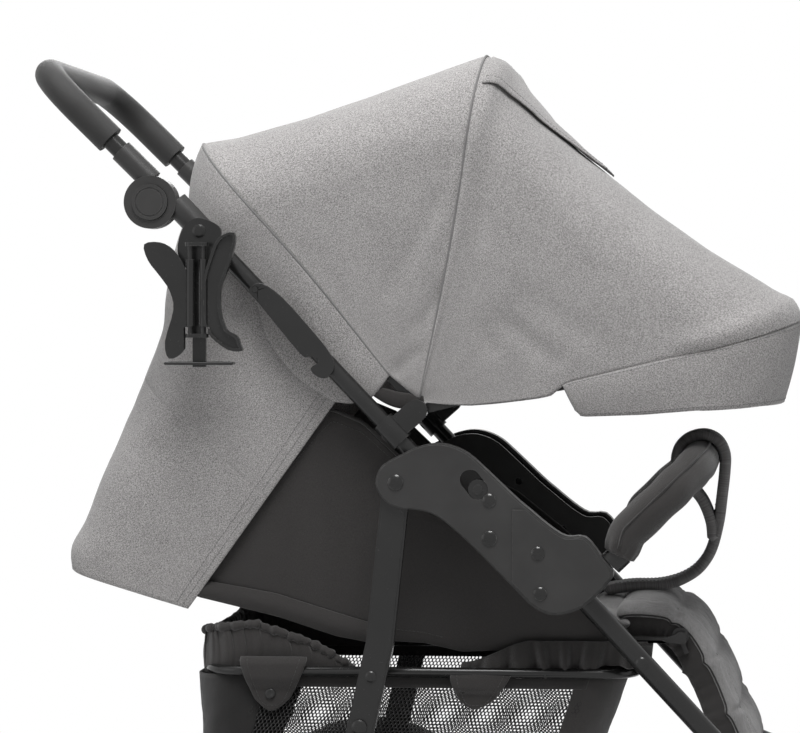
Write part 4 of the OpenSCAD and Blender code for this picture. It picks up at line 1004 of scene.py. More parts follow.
# %% Side cloths of the seat
PANEL_LOW = np.array([(-226, 476), (-160, 460), (-114, 449), (-63, 434), (-34, 430), (24, 427),
                      (65, 418), (106, 420), (148, 426), (190, 427), (228, 425)], float)
PANEL_HIGH = np.array([(-220, 490), (-180, 548), (-128, 612), (-74, 676), (-40, 662), (0, 624),
                       (48, 596), (100, 570), (150, 530), (196, 488), (240, 440)], float)
BAND_LOW = np.array([(-216.7, 474), (-135, 455), (-70, 434), (-32, 427)], float)
BAND_HIGH = np.array([(-216.7, 492), (-135, 478), (-70, 458), (-32, 447)], float)


def panel_point(u, v, side):
    """A place on a side cloth at shares u along it and v up it."""
    (x, z), (x1, z1) = on_path(PANEL_LOW, u), on_path(PANEL_HIGH, u)
    y = 166 + 15 * v ** 0.7 * min(1, 3 * u) * min(1, 8 * (1 - u))
    y += math.sin(math.pi * v) * (4.5 * ripple((x, z, v * 50), 75, 4.0)
                                  + 2.5 * ripple((x * 0.5, z * 1.6, 0), 26, 1.0))
    return np.array([x + (x1 - x) * v, side * y, z + (z1 - z) * v])


us, vs = np.linspace(0, 1, 73), np.linspace(0, 1, 25)
for side, tag in SIDES:
    panel = Cloth(f"side_cloth_{tag}", [[panel_point(u, v, side) for v in vs] for u in us], 1.6,
                  dark_cloth, outward=-side)
    rows = [panel.line([(0.01, 0.95), (0.99, 0.95)]), panel.line([(0.01, 0.06), (0.6, 0.06)])]
    threads = stitch_rows(f"side_cloth_{tag}_stitches", rows, thread_dark)
    edge = np.array([panel_point(u, 1.0, side) for u in np.linspace(0, 1, 90)])
    piping = sweep(f"side_cloth_{tag}_piping", edge, 2.0, binding, sides=10)
    band = Cloth(f"side_band_{tag}", [[np.insert(
        on_path(BAND_LOW, u) * (1 - v) + on_path(BAND_HIGH, u) * v, 1,
        side * (171.5 + 4 * math.sin(math.pi * v))) for v in vs] for u in us], 1.8, dark_cloth,
        outward=-side)
    for piece in (panel.obj, threads, piping, band.obj):
        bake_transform(piece)
    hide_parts(f"side_panel_{tag}")

# %% [markdown]
# ## Padded seat
# Three cushions are sewn across in channels. Each starts as a thin closed slab whose sewn lines
# are already drawn in. A cloth simulation then blows it up like air in a quilt while the sewn
# lines and the underside stay held. That gives channels that swell most in their middles and
# pull their edges in, which no simple bevel does. The result is kept as a plain mesh.

# %% Cushion slab
def cushion(name, length, half_w, thick, place, seams, material, start=0.0):
    """A closed slab over (along, across, up), sewn at the given distances along it."""
    na, ny = max(8, int(length / 5.5)), int(2 * half_w / 7)
    ends = lambda n: 0.72 * np.linspace(-1, 1, n + 1) + 0.28 * np.sin(
        np.linspace(-1, 1, n + 1) * math.pi / 2)
    aa, yy = ends(na), ends(ny)
    points, index, held = [], {}, []
    for top in (True, False):
        for i, s in enumerate(aa):
            for j, t in enumerate(yy):
                border = i in (0, na) or j in (0, ny)
                if border and not top:
                    index[i, j, False] = index[i, j, True]
                    continue
                round_off = math.sqrt(max(0, 1 - abs(s) ** 10) * max(0, 1 - abs(t) ** 12))
                a = length * (s + 1) / 2
                sewn = max(math.exp(-((a - q) / 7) ** 2) for q in seams)
                up = thick * (0.42 + (0.50 * round_off * (1 - 0.5 * sewn) if top
                                      else -0.42 * round_off))
                pull = 1 - 0.012 * (1 - sewn) * (abs(t) ** 6)
                index[i, j, top] = len(points)
                near = min(abs(a - q) for q in seams)
                if not top or (near < length / na * 0.55 and not border):
                    held.append(len(points))
                points.append(place(start + a, t * half_w * pull, up))
    faces = []
    for i in range(na):
        for j in range(ny):
            q = [(i, j), (i, j + 1), (i + 1, j + 1), (i + 1, j)]
            faces.append([index[i2, j2, True] for i2, j2 in q])
            faces.append([index[i2, j2, False] for i2, j2 in reversed(q)])
    faces = [f for f in faces if len(set(f)) == 4]
    print(name, len(points), "points,", len(held), "held")
    return add_mesh(name, points, faces, material), held


# %% Seat and back cushion
def on_seat(a, y, c):
    """A place on the seat base: a forward, c up."""
    return a, y, 434.3 + c


def on_back(a, y, c):
    """A place on the backrest board: a up along it, c off it."""
    return 62 - 0.97437 * a + 0.22495 * c, y, 436 + 0.22495 * a + 0.97437 * c


BACK_LIFT = 3.4
cushions = [
    cushion("seat_cushion", 146, 158, 33, on_seat, (46, 98), melange_pad, start=97),
    cushion("back_cushion", 366, 157, 25, lambda a, y, c: on_back(a, y, c + BACK_LIFT),
            (60, 120, 182, 244, 306), melange_pad, start=27)]

# %% Air in the cushions
AIR_FRAMES = 18


def swell(jobs):
    """Blows up (object, held points, cap in mm) as cloth, and keeps the shapes as plain meshes."""
    import bmesh
    for obj, held, cap in jobs:
        b = bmesh.new()
        b.from_mesh(obj.data)
        bmesh.ops.recalc_face_normals(b, faces=b.faces)
        b.to_mesh(obj.data)
        b.free()
    scene, before = bpy.context.scene, {}
    for obj, held, cap in jobs:
        co = np.zeros(len(obj.data.vertices) * 3)
        obj.data.vertices.foreach_get("co", co)
        before[obj.name] = co.reshape(-1, 3)
        obj.vertex_groups.new(name="sewn").add(held, 1.0, "REPLACE")
        cloth = obj.modifiers.new("air", "CLOTH")
        s = cloth.settings
        s.quality, s.mass, s.bending_stiffness = 4, 0.15, 0.2
        s.tension_stiffness = s.compression_stiffness = 8
        s.use_pressure, s.uniform_pressure_force = True, 4.0
        s.shrink_min = -0.05
        s.vertex_group_mass = "sewn"
        s.effector_weights.gravity = 0
        cloth.point_cache.frame_start, cloth.point_cache.frame_end = 1, AIR_FRAMES
    for k in range(1, AIR_FRAMES + 1):
        scene.frame_set(k)
    graph = bpy.context.evaluated_depsgraph_get()
    for obj, held, cap in jobs:
        mesh = obj.evaluated_get(graph).data
        after = np.zeros(len(mesh.vertices) * 3)
        mesh.vertices.foreach_get("co", after)
        move = after.reshape(-1, 3) - before[obj.name]
        far = np.linalg.norm(move, axis=1, keepdims=True) * 1000
        move *= cap * np.tanh(far / cap) / np.maximum(far, 1e-6)
        print(f"{obj.name}: swells by up to {far.max():.1f} mm, kept under {cap}")
        obj.modifiers.clear()
        obj.vertex_groups.clear()
        obj.data.vertices.foreach_set("co", (before[obj.name] + move).ravel())
        obj.data.update()
    scene.frame_set(1)


print("air for", AIR_FRAMES, "frames")

# %% [markdown]
# One quilt runs from the seat over its front edge and down the leg rest, with cross seams and a
# seam along each side. It is a thick sheet along a curve of the side view. Its sewn rows and its
# underside are held while the air goes in; afterwards it stays where it is built.

# %% Quilt over the seat's front edge
QUILT = resample(smooth_path([(232, 463), (262, 462), (288, 458), (307, 444), (322, 424),
                              (336, 397), (351, 362), (366, 326), (376, 301)]), pitch=4.0)
QUILT_HALF, QUILT_COLS = 152, 66
CHANNEL = 15                            # rows from one cross seam to the next
CROSS_SEAMS = (CHANNEL, 2 * CHANNEL, 3 * CHANNEL)
SIDE_SEAM = 5                           # columns from the edge to a side seam
across = np.linspace(-1, 1, QUILT_COLS + 1)
grid = [[(x, QUILT_HALF * w * (1 - 0.02 * math.sin(math.pi * k / CHANNEL) ** 2 * abs(w) ** 5), z)
         for w in across] for k, (x, z) in enumerate(QUILT)]
relief = np.array([[1.2 * math.sqrt(abs(math.sin(math.pi * k / CHANNEL)))
                    - 2.5 * math.exp(-(min(abs(k - q) for q in (0, *CROSS_SEAMS)) / 0.9) ** 2)
                    - 3.0 * abs(w) ** 14 for w in across] for k in range(len(QUILT))])
quilt = Cloth("leg_quilt", grid, 15.0, melange_pad, relief, outward=1)
rows_n, cols_n = quilt.grid.shape[:2]
held = [i * cols_n + j for i in range(rows_n) for j in range(cols_n)
        if i in CROSS_SEAMS or j in (SIDE_SEAM, QUILT_COLS - SIDE_SEAM)]
held += list(range(rows_n * cols_n, len(quilt.obj.data.vertices)))
swell([(*cushions[0], 7), (*cushions[1], 6), (quilt.obj, held, 5)])
quilt_stitches = stitch_rows("leg_quilt_stitches", [
    quilt.line([(0.01, v), (0.99, v)])
    for v in (SIDE_SEAM / QUILT_COLS, 1 - SIDE_SEAM / QUILT_COLS)], thread_grey)

# %% Quilt's side edges
side_edges = []
for side, tag in SIDES:
    edge = []
    for k in range(len(quilt.grid)):
        p, n = quilt.grid[k, 0 if side < 0 else -1], quilt.normal[k, QUILT_COLS // 2]
        edge.append([p - n * (3 + 26 * v * min(1, k / 9 + 0.7))
                     + np.array([0, side * (1.6 * v * math.sin(k * 1.7) - 7 * v * v), 0])
                     for v in np.linspace(0, 1, 9)])
    hem = np.array([q[0] + [0, side * 1.5, 0] for q in edge])
    side_edges.append((Cloth(f"leg_quilt_side_{tag}", edge, 2.0, dark_cloth, outward=side),
                       sweep(f"leg_quilt_piping_{tag}", hem, 2.2, binding, sides=8)))
print("quilt", quilt.grid.shape[:2], "points with", len(side_edges), "side edges")

# %% Quilt smoothed, cushions riding
def smooth_surface(obj):
    """One level of subdivision, so that the coarse simulated mesh looks like soft cloth."""
    soft = obj.modifiers.new("smooth", "SUBSURF")
    soft.levels = soft.render_levels = 1


smooth_surface(quilt.obj)
edge_pieces = [piece for edge, hem in side_edges for piece in (edge.obj, hem)]
for piece in [quilt.obj, quilt_stitches] + edge_pieces:
    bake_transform(piece)
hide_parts("legrest_pad")
for (obj, _), body, node in zip(cushions, ("chassis", "backrest"), ("seat_pad", "backrest_pad")):
    smooth_surface(obj)
    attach(obj, body)
    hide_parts(node)
print(1 + len(cushions), "padded pieces ride")

# %% [markdown]
# ## Straps, buckle and bumper sleeve
# Straps are flat webbing, so they are modelled directly: a simulation would only blur them. The
# slider and the buckle are small moulded blocks. A cube with all its edges bevelled in three steps
# is enough for them, turned into place by the same map that lays the straps on the backrest.

# %% Moulded blocks
def rounded_block(name, size, place, material, soft=1.5):
    """A box with rounded edges, given by its size in mm and a map from its own axes."""
    import bmesh
    b = bmesh.new()
    bmesh.ops.create_cube(b, size=1.0)
    for v in b.verts:
        v.co = Vector([v.co[k] * size[k] for k in range(3)])
    bmesh.ops.bevel(b, geom=list(b.edges), offset=soft, segments=3, affect="EDGES",
                    clamp_overlap=True)
    points = [place(*v.co) for v in b.verts]
    b.verts.index_update()
    faces = [[v.index for v in f.verts] for f in b.faces]
    b.free()
    print(name, size, "mm")
    return add_mesh(name, points, faces, material)


# %% Shoulder straps and buckle
STRAP_Y = 53                            # middle of each shoulder strap
STRAP_FROM, STRAP_TO = 70, 318          # up along the backrest
BUCKLE_AT = 82
for side, tag in SIDES:
    grid = [[on_back(a, side * (STRAP_Y + w),
                     32.2 + 1.6 * math.sin(a / 30) + 0.4 * math.cos(w / 5))
             for w in np.linspace(-18, 18, 13)] for a in np.linspace(STRAP_FROM, STRAP_TO, 80)]
    strap = Cloth(f"shoulder_strap_{tag}", grid, 2.4, webbing, outward=-side)
    rows = [strap.line([(0.01, v), (0.99, v)]) for v in (0.12, 0.88)]
    threads = stitch_rows(f"shoulder_strap_{tag}_stitches", rows, thread_dark)
    slider = rounded_block(f"strap_slider_{tag}", (9, 44, 6), lambda x, y, z: on_back(
        150 + x, side * STRAP_Y + y, 34.5 + z), gloss_plastic)
    for piece in (strap.obj, threads, slider):
        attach(piece, "backrest")
buckle = rounded_block("buckle_body", (44, 46, 9), lambda x, y, z: on_back(
    BUCKLE_AT + x, y, 33.5 + z), gloss_plastic, 3.5)
button = rounded_block("buckle_button", (17, 22, 4), lambda x, y, z: on_back(
    BUCKLE_AT + x, y, 38.0 + z), brake_red, 1.6)
for piece in (buckle, button):
    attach(piece, "backrest")
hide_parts("harness")

# %% [markdown]
# The bumper's sleeve is a padded tube of dark cloth that is gathered at both ends and wrinkles a
# little in the bends. A strand swept along the bar with a radius that changes along and around it
# gives all of that in one piece. Piping runs along its outer side and two sewn rows inside.

# %% Bumper's line
BAR_AT, BAR_ANGLE = (230, 521), 44      # side view: foot of the bumper's arms, and their rise
BAR_ARM, BAR_BEND, BAR_STRAIGHT = 58, 70, 165   # arm, radius of the corner, half of the front


def on_bar(t, y, c=0.0):
    """A place on the bumper: t along its arms, y across, c above its plane."""
    a = math.radians(BAR_ANGLE)
    return np.array([BAR_AT[0] + t * math.cos(a) - c * math.sin(a), y,
                     BAR_AT[1] + t * math.sin(a) + c * math.cos(a)])


def crown_lift(t):
    """The padding stands higher on the bar as it leaves the ends of the sleeve."""
    return blend01(t / 34)


def bar_line(t0, grow=0.0):
    """The bumper's centre line from one end of the sleeve round to the other."""
    bend = BAR_BEND + grow
    flat = [(t, -BAR_STRAIGHT - bend) for t in np.linspace(t0, BAR_ARM, 14)]
    flat += [(BAR_ARM + bend * math.sin(a), -BAR_STRAIGHT - bend * math.cos(a))
             for a in np.linspace(0, math.pi / 2, 18)[1:]]
    flat += [(BAR_ARM + bend, y) for y in np.linspace(-BAR_STRAIGHT, 0, 14)[1:]]
    flat += [(t, -y) for t, y in flat[::-1][1:]]
    return resample(np.array(flat), pitch=3.0)


centre = [on_bar(t, y, 11.0 * crown_lift(t)) for t, y in bar_line(7.0)]
along = length_along(centre)
print("sleeve", round(along[-1]), "mm long")


# %% Bumper sleeve
def sleeve_folds(k, a):
    """Gathers at both ends and a few soft wrinkles in the bends."""
    d = min(along[k], along[-1] - along[k])
    gather = math.exp(-(d / 16) ** 2) * (0.9 * math.sin(9 * a) - 1.6)
    bend = math.exp(-((d - 95) / 45) ** 2) * 0.7 * math.sin(along[k] / 6.5 + 0.8 * math.sin(a))
    return gather + bend + 0.6 * ripple((along[k], 20 * math.cos(a), 20 * math.sin(a)), 26, 2.0)


ends = np.minimum(along, along[-1] - along)
sleeve = sweep("bumper_sleeve", centre, 20.3 - 2.2 * np.exp(-(ends / 5.0) ** 2), dark_cloth,
               sides=48, shape=sleeve_folds, up=[0, 0, 1.0])
outer_line = bar_line(12.5, 19.3)
piping = sweep("bumper_sleeve_piping",
               [on_bar(t, y, 1 + 15.6 * crown_lift(t)) for t, y in outer_line], 1.6, binding,
               sides=8)
inner_rows = []
for lift in (8.0, 3.0):
    path = np.array([on_bar(t, y, lift + 11 * crown_lift(t))
                     for t, y in bar_line(14, 19.4 - lift * 0.16)])
    out = path - np.array([on_bar(40, 0, 0)])
    inner_rows.append((path, out / np.linalg.norm(out, axis=1, keepdims=True)))
sleeve_stitches = stitch_rows("bumper_sleeve_stitches", inner_rows, thread_dark)
for piece in (sleeve, piping, sleeve_stitches):
    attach(piece, "bumper")
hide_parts("bumper_cover")

# %% [markdown]
# A padded strap rises from the seat between the legs, loops over the bumper and closes on itself.
# Its side view is one curve chosen from the photograph. The sheet across it is dished a
# little and narrower in the middle, as a stuffed strap is.

# %% Strap between the legs
STRAP = smooth_path([(212, 474), (240, 478), (268, 479), (292, 485), (311, 497), (325, 517),
                     (333, 546), (337, 576), (340, 604), (340, 622), (333, 637), (319, 644.5),
                     (303, 642), (291, 631), (287, 615), (292, 601), (304, 587), (317, 570),
                     (325, 549), (327, 532)])
STRAP_HALF, STRAP_WAIST, STRAP_PITCH = 29, 4, 3.0
grid = []
for k, (x, z) in enumerate(resample(STRAP, pitch=STRAP_PITCH)):
    w = STRAP_HALF - STRAP_WAIST * math.sin(math.pi * min(1, k * STRAP_PITCH / 230))
    grid.append([(x + 1.5 * (v / STRAP_HALF) ** 2, v * w / STRAP_HALF,
                  z + 0.5 * ripple((x, v, z), 20))
                 for v in np.linspace(-STRAP_HALF, STRAP_HALF, 21)])
strap = Cloth("crotch_strap_cloth", grid, 11.0, strap_weave, outward=1)
rows = [strap.line([(0.02, v), (0.98, v)]) for v in (0.09, 0.91)]
rows += [strap.line([(u, 0.1), (u, 0.9)]) for u in (0.42, 0.435)]
strap_stitches = stitch_rows("crotch_strap_stitches", rows, thread_dark)
for piece in (strap.obj, strap_stitches):
    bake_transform(piece)
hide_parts("crotch_strap")

# %% [markdown]
# ## Basket
# The basket is a bag sewn to a tube ring: dark cloth at the front, back and floor, and a window
# of hexagonal net in each side. The net is real: every cell is a small frame of strands with
# thickness, so you can see through it and it throws the right shadow.

# %% Bag outline
BAG_TOP, BAG_LOW = 391.5, 240.0


def bag_plan(z, grow):
    """The bag's outline at a height: front, rear, half width, corner radius and the lengths of
    its five parts from the front's middle to the rear's."""
    h = (z - BAG_LOW) / (BAG_TOP - BAG_LOW)
    front, rear, half, r = 183 + 56 * h + grow, -212 - 9 * h - grow, 182 + grow, 42.0
    half += 2.5 * math.sin(math.pi * min(1, max(0, h)))
    quarter = r * math.pi / 2
    return front, rear, half, r, (half - r, quarter, front - rear - 2 * r, quarter, half - r)


def bag_point(s, z, grow=0.0):
    """Point on the bag at distance s round it from the front's middle, right side positive."""
    xf, xr, half, r, parts = bag_plan(z, grow)
    if s > sum(parts):
        s -= 2 * sum(parts)
    d, side = abs(s), -1 if s >= 0 else 1
    if d < parts[0]:
        x, y = xf, d
    elif d < sum(parts[:2]):
        a = (d - parts[0]) / r
        x, y = xf - r + r * math.cos(a), half - r + r * math.sin(a)
    elif d < sum(parts[:3]):
        x, y = xf - r - (d - sum(parts[:2])), half
    elif d < sum(parts[:4]):
        a = (d - sum(parts[:3])) / r
        x, y = xr + r - r * math.sin(a), half - r + r * math.cos(a)
    else:
        x, y = xr, max(0.0, half - r - (d - sum(parts[:4])))
    return np.array([x, side * y, z])


print("half-way round the rim:", round(sum(bag_plan(BAG_TOP, 0)[-1])), "mm")

# %% Basket's cloths
NET_FROM, NET_TO = 208.0, 548.0


def bag_sheet(name, s0, s1, z0, z1, grow, material, wave=1.0, cols=130, rows_z=26):
    """A part of the bag from distance s0 to s1 round it, or to the mirror of s0 round the rear."""
    grid = []
    for z in np.linspace(z0, z1, rows_z + 1):
        line = []
        end = s1 if s1 else 2 * sum(bag_plan(z, grow)[-1]) - s0
        for s in np.linspace(s0, end, cols + 1):
            h = (z - BAG_LOW) / (BAG_TOP - BAG_LOW)
            fold = wave * (2.2 * ripple((s, z * 0.4, 0), 38, 6.0) + 0.8 * ripple((s, z, 0), 15, 2))
            line.append(bag_point(s, z, grow + fold * math.sin(math.pi * min(1, max(0, h)))))
        grid.append(line)
    return Cloth(name, grid, 1.4, material, outward=-1)


front_band = bag_sheet("basket_front_cloth", -NET_FROM - 6, NET_FROM + 6, BAG_LOW + 1, BAG_TOP,
                       0.0, dark_cloth)
rear_cloth = bag_sheet("basket_rear_cloth", NET_TO - 6, None, BAG_LOW + 1, BAG_TOP, 0.0,
                       black_cloth)
basket_parts = [(front_band, []), (rear_cloth, [])]     # each cloth with what is sewn to it
BAG_SIDES = ((1, "r"), (-1, "l"))       # the signs of distances round the bag
for side, tag in BAG_SIDES:
    for part, z0, z1 in (("top", BAG_TOP - 11, BAG_TOP), ("low", BAG_LOW - 3, BAG_LOW + 16)):
        lo, hi = sorted((side * (NET_FROM - 4), side * (NET_TO + 4)))
        basket_parts.append((bag_sheet(f"basket_{part}_edge_{tag}", lo, hi, z0, z1, 0.8,
                                       binding, wave=0.0, cols=60, rows_z=3), []))
floor_grid = [[(x, y * (1 - 0.001 * max(0, abs(x - 10) - 150)), 239.0 - 2.2 * math.cos(y / 130)
                + 0.8 * ripple((x, y, 0), 60)) for y in np.linspace(-181.5, 181.5, 40)]
              for x in np.linspace(-208, 182, 46)]
basket_parts.append((Cloth("basket_floor_cloth", floor_grid, 1.6, black_cloth, outward=1), []))
print(len(basket_parts), "cloths in the bag")

# %% [markdown]
# A net drawn as a texture with holes would lie flat and lose its depth close up. Here each cell is
# six thin strands with a front and a back face, placed round the bag by the same map as the
# cloth. Neighbours meet along their edges, so together they read as one knitted net.

# %% Hexagonal net
def hex_net(name, side, pitch=4.2, strand=0.34):
    """Cells of six thin strands over the window, each with a front and a back face."""
    points, faces = [], []
    dz = pitch * math.sqrt(3) / 2
    z, odd = BAG_LOW + 8, 0
    corners = [(math.cos(math.radians(60 * q + 30)), math.sin(math.radians(60 * q + 30)))
               for q in range(6)]
    big, small = pitch / math.sqrt(3), pitch / math.sqrt(3) - strand
    while z < BAG_TOP - 7:
        s = NET_FROM - 4 + odd * pitch / 2
        while s < NET_TO + 4:
            start = len(points)
            for radius, lift in ((big, 0.25), (small, 0.25), (small, -0.25), (big, -0.25)):
                for cx, cz in corners:
                    points.append(bag_point(side * (s + radius * cx), z + radius * cz, lift))
            for ring in range(4):
                a, b = start + 6 * ring, start + 6 * ((ring + 1) % 4)
                for q in range(6):
                    r = (q + 1) % 6
                    faces.append((a + q, a + r, b + r, b + q) if side < 0
                                 else (a + r, a + q, b + q, b + r))
            s += pitch
        z += dz
        odd = 1 - odd
    print(name, len(faces) // 24, "cells")
    return add_mesh(name, points, faces, black_cloth)


nets = [hex_net("basket_net_r", 1), hex_net("basket_net_l", -1)]

# %% [markdown]
# The basket's rear opening has a free top edge that elastic pulls into many small pleats. A fine
# wave across a sheet, fading towards the ring, gives the pleats, and a knobbly strand the hem.
# Four tabs of cloth lap over the ring and close with a snap, a low round button.

# %% Ruffled rear edge
RUFFLE_S = [440, 480, 545, 600, 650, 768]       # distance round the bag
RUFFLE_Z = [399, 424, 446, 440, 432, 430]       # height of the ruffle's edge there
RUFFLE_FOOT = 392


def ruffle(side, tag):
    """Elastic pulls the free top edge of the rear cloth into small pleats."""
    grid = []
    for h in np.linspace(0, 1, 15):
        line = []
        for s in np.linspace(440, 772, 300):
            z = RUFFLE_FOOT + (np.interp(s, RUFFLE_S, RUFFLE_Z) - RUFFLE_FOOT) * h
            wave = s / 3.4 + 1.6 * math.sin(s / 23) + 0.7 * math.sin(s / 9)
            pleat = 1.1 * h * math.sin(wave) + 0.5 * h * math.sin(2.3 * wave + h) + 9 * h * (1 - h)
            p = bag_point(side * s, min(z, RUFFLE_FOOT - 1), -5 - 2 * h + pleat)
            line.append((p[0], p[1], z))
        grid.append(line)
    piece = Cloth(f"basket_ruffle_{tag}", grid, 1.1, dark_cloth, outward=-side)
    hem = sweep(f"basket_ruffle_{tag}_hem", resample(grid[-1], pitch=2.0), 4.6, dark_cloth,
                sides=14, shape=lambda k, a: 0.7 * math.sin(k * 1.25) + 0.4 * math.sin(k * 0.53))
    print(piece.obj.name, piece.grid.shape[:2], "points")
    return piece, hem


# %% Snaps
SNAP_PROFILE = ((1, -0.6), (1, 0.45), (0.93, 0.75), (0.75, 0.93), (0.45, 1.0), (0.40, 0.88),
                (0.15, 0.84))           # shares of the radius and of the height


def dome(name, centre, normal, radius, height, material, sides=28):
    """A low round button with a soft shoulder, standing on a face."""
    n = np.asarray(normal, float)
    a = np.cross(n, [0, 0, 1.0])
    a = a / np.linalg.norm(a) if np.linalg.norm(a) > 0.1 else np.array([1.0, 0, 0])
    b = np.cross(n, a)
    points, faces = [], []
    for share, up in SNAP_PROFILE:
        for q in range(sides):
            t = 2 * math.pi * q / sides
            points.append(np.asarray(centre) + radius * share * (a * math.cos(t)
                                                                 + b * math.sin(t))
                          + n * height * up)
    for k in range(len(SNAP_PROFILE) - 1):
        for q in range(sides):
            i, j = k * sides + q, k * sides + (q + 1) % sides
            faces.append((i, j, j + sides, i + sides))
    faces.append(tuple(range(sides))[::-1])
    faces.append(tuple(range(len(points) - sides, len(points))))
    return add_mesh(name, points, faces, material)


print("a snap has", len(SNAP_PROFILE), "rings")


# %% Tabs
def tab(name, corners, side, snap):
    """A three-cornered tab that laps over the ring and closes with a snap."""
    (x0, z0), (x1, z1), (x2, z2) = corners
    grid = []
    for h in np.linspace(0, 1, 22):
        half0, half1 = (x1 - x0) / 2, 9.0
        mid = (x0 + x1) / 2 * (1 - h) + x2 * h
        wide = half0 * (1 - h) ** 0.8 + half1 * min(1, 3.0 * (1 - h) + 0.35) * h ** 0.5
        z = z0 + (z2 - z0) * h
        over = 195.0 - 6.5 * blend01((h - 0.35) / 0.3) - 5 * blend01((0.12 - h) / 0.12)
        grid.append([(mid + wide * w, -side * (over + 0.4 * math.cos(3 * w)), z)
                     for w in np.linspace(-1, 1, 15)])
    piece = Cloth(name, grid, 1.8, dark_cloth, outward=side)
    rows = [piece.line([(0.04, 0.1), (0.9, 0.14), (0.9, 0.86), (0.04, 0.9)])]
    threads = stitch_rows(name + "_stitches", rows, thread_dark)
    cap = dome(name + "_snap", (snap[0], -side * 190.2, snap[1]), (0, -side, 0), 5.6, 2.0,
               gloss_plastic)
    return piece, threads, cap


TABS = (("rear", ((-169, 412), (-100, 412), (-137, 355)), (-138, 373)),
        ("front", ((56, 396), (117, 390), (80, 359)), (68, 381)))
for side, tag in BAG_SIDES:
    edge, hem = ruffle(side, tag)
    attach(hem, "basket")
    basket_parts.append((edge, [hem]))
    for where, corners, snap in TABS:
        piece, threads, cap = tab(f"basket_tab_{where}_{tag}", corners, side, snap)
        for extra in (threads, cap):
            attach(extra, "basket")
        basket_parts.append((piece, [threads, cap]))

# %% Basket riding
for piece, extras in basket_parts:
    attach(piece.obj, "basket")
for net in nets:
    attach(net, "basket")
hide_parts("basket_bag")

# %% [markdown]
# A gathered strip of dark cloth hangs under each side of the seat and hides its board. Its pleats
# are two sine waves along it that grow towards the lower edge, so no two look the same.

# %% Valance under the seat
VALANCE_FROM, VALANCE_TO = 66, 262
for side, tag in SIDES:
    grid = []
    for x in np.linspace(VALANCE_FROM, VALANCE_TO, 190):
        pleat = math.sin(x / 4.6 + 1.5 * math.sin(x / 23.0)) + 0.4 * math.sin(x / 2.1)
        top = 407 + 23 * blend01((x - VALANCE_FROM) / 75)
        low = 399 - 6 * math.sin((x - 60) / 38.0) - 1.5 * pleat
        grid.append([(x + 6 * v * math.sin(x / 19.0), side * (
            177 + (1.2 + 3.6 * v ** 0.7) * pleat + 7 * v + 3 * math.sin(math.pi * v)),
            top + (low - top) * v) for v in np.linspace(0, 1, 19)])
    valance = Cloth(f"seat_valance_{tag}", grid, 1.4, dark_cloth, outward=side)
    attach(valance.obj, "chassis")

# %% [markdown]
# A CAD edge has no radius at all, so it never catches the light as a moulded or bent edge does.
# Modifiers round it without touching the CAD mesh: a weld joins its triangles, a narrow bevel
# rounds the sharp edges, and weighted normals keep the flat faces flat.

# %% Soften the CAD edges
EDGE_ROUND, EDGE_ANGLE = 0.0007, 38     # metres, degrees
for obj in rigid:
    for polygon in obj.data.polygons:
        polygon.use_smooth = True
    weld = obj.modifiers.new("weld", "WELD")
    weld.merge_threshold = 0.00002
    edges = obj.modifiers.new("round", "BEVEL")
    edges.limit_method, edges.angle_limit = "ANGLE", math.radians(EDGE_ANGLE)
    edges.width, edges.segments, edges.use_clamp_overlap = EDGE_ROUND, 2, True
    edges.harden_normals = False
    shade = obj.modifiers.new("shade", "WEIGHTED_NORMAL")
    shade.keep_sharp = True
print("rounded", len(rigid), "nodes")

# %% [markdown]
# ## Stage
# The photograph is a catalogue shot: a white surround, very soft light from the top and front,
# and a faint shadow side at the rear. A pale floor carries the shadow. The camera stands far
# away with a long lens, a little in front of the side and just above the handle's height.

# %% Floor
FLOOR_REACH, FLOOR_POINTS = 2200, 96
ring = [(X_MID + FLOOR_REACH * math.cos(a), FLOOR_REACH * math.sin(a), -1.0)
        for a in np.linspace(0, 2 * math.pi, FLOOR_POINTS + 1)[:-1]]
floor_material, _, _ = new_material("pale_floor", roughness=0.9, Base_Color=grey(0.82))
floor = add_mesh("floor", ring, [tuple(range(FLOOR_POINTS))], floor_material)
floor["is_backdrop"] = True
print("floor", 2 * FLOOR_REACH, "mm across")

# %% Surround
SKY_LIGHT = 0.25                        # how much the surround itself lights the cloth


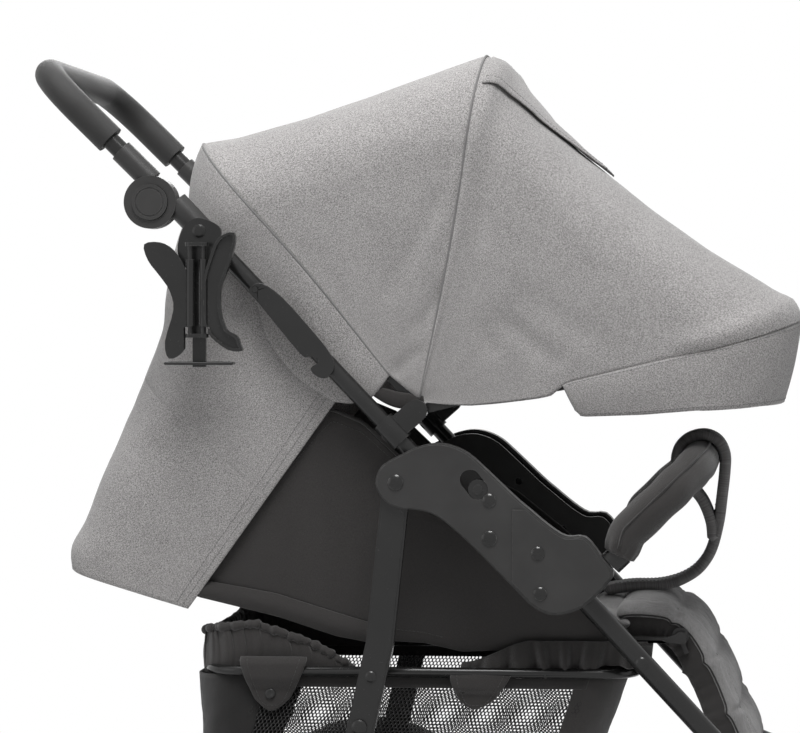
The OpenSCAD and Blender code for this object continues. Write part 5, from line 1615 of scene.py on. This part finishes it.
def build_surround():
    """White to the camera and in reflections, but only a faint light on the stroller."""
    world = bpy.data.worlds.new("studio")
    bpy.context.scene.world = world
    world.use_nodes = True
    t = world.node_tree
    t.nodes.clear()
    path = wire(t, "LightPath").outputs
    seen = math_node(t, "MAXIMUM", path["Is Camera Ray"],
                     math_node(t, "MAXIMUM", path["Is Glossy Ray"],
                               path["Is Transmission Ray"]))
    light = wire(t, "Background", (0.97, 0.98, 1.0, 1.0), SKY_LIGHT)
    white = wire(t, "Background", (1.0, 1.0, 1.0, 1.0), 1.0)
    both = wire(t, "MixShader", seen, light.outputs[0], white.outputs[0])
    t.links.new(both.outputs[0], wire(t, "OutputWorld").inputs[0])


build_surround()
print("surround", bpy.context.scene.world.name)

# %% Lamps
LAMPS = (("key", (0.1, -1.75, 3.25), (0, 0, 0.7), 1.3, 74.0),       # place, aim, size, watts
         ("top", (-0.3, -0.2, 3.4), (0, 0, 0.8), 2.2, 60.0),
         ("fill", (-2.8, -2.2, 1.2), (0, 0, 0.7), 2.0, 10.0),
         ("back", (-0.6, 2.6, 2.2), (0, 0, 0.8), 1.6, 30.0))


def aim_at(obj, place, aim):
    """Puts a lamp or camera at a place and points it."""
    obj.location = place
    obj.rotation_euler = (Vector(aim) - Vector(place)).to_track_quat("-Z", "Y").to_euler()
    bpy.context.scene.collection.objects.link(obj)


for name, place, aim, size, watts in LAMPS:
    data = bpy.data.lights.new(name, "AREA")
    data.energy, data.size = watts, size
    aim_at(bpy.data.objects.new(name, data), place, aim)
print(len(LAMPS), "lamps")

# %% Camera
CAMERA_AT, CAMERA_AIM = (0.273, -4.087, 0.776), (-0.121, -0.212, 0.7215)
LENS = 166.5
camera_data = bpy.data.cameras.new("camera")
camera_data.lens, camera_data.sensor_width, camera_data.clip_end = LENS, 36.0, 50.0
camera = bpy.data.objects.new("camera", camera_data)
aim_at(camera, CAMERA_AT, CAMERA_AIM)
bpy.context.scene.camera = camera
bpy.context.scene.view_settings.view_transform = "Standard"
print("camera", [round(v, 3) for v in camera.location], "lens", LENS)

# %% Final size
low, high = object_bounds()
print("shown box", [round(v, 3) for v in (*low, *high)])
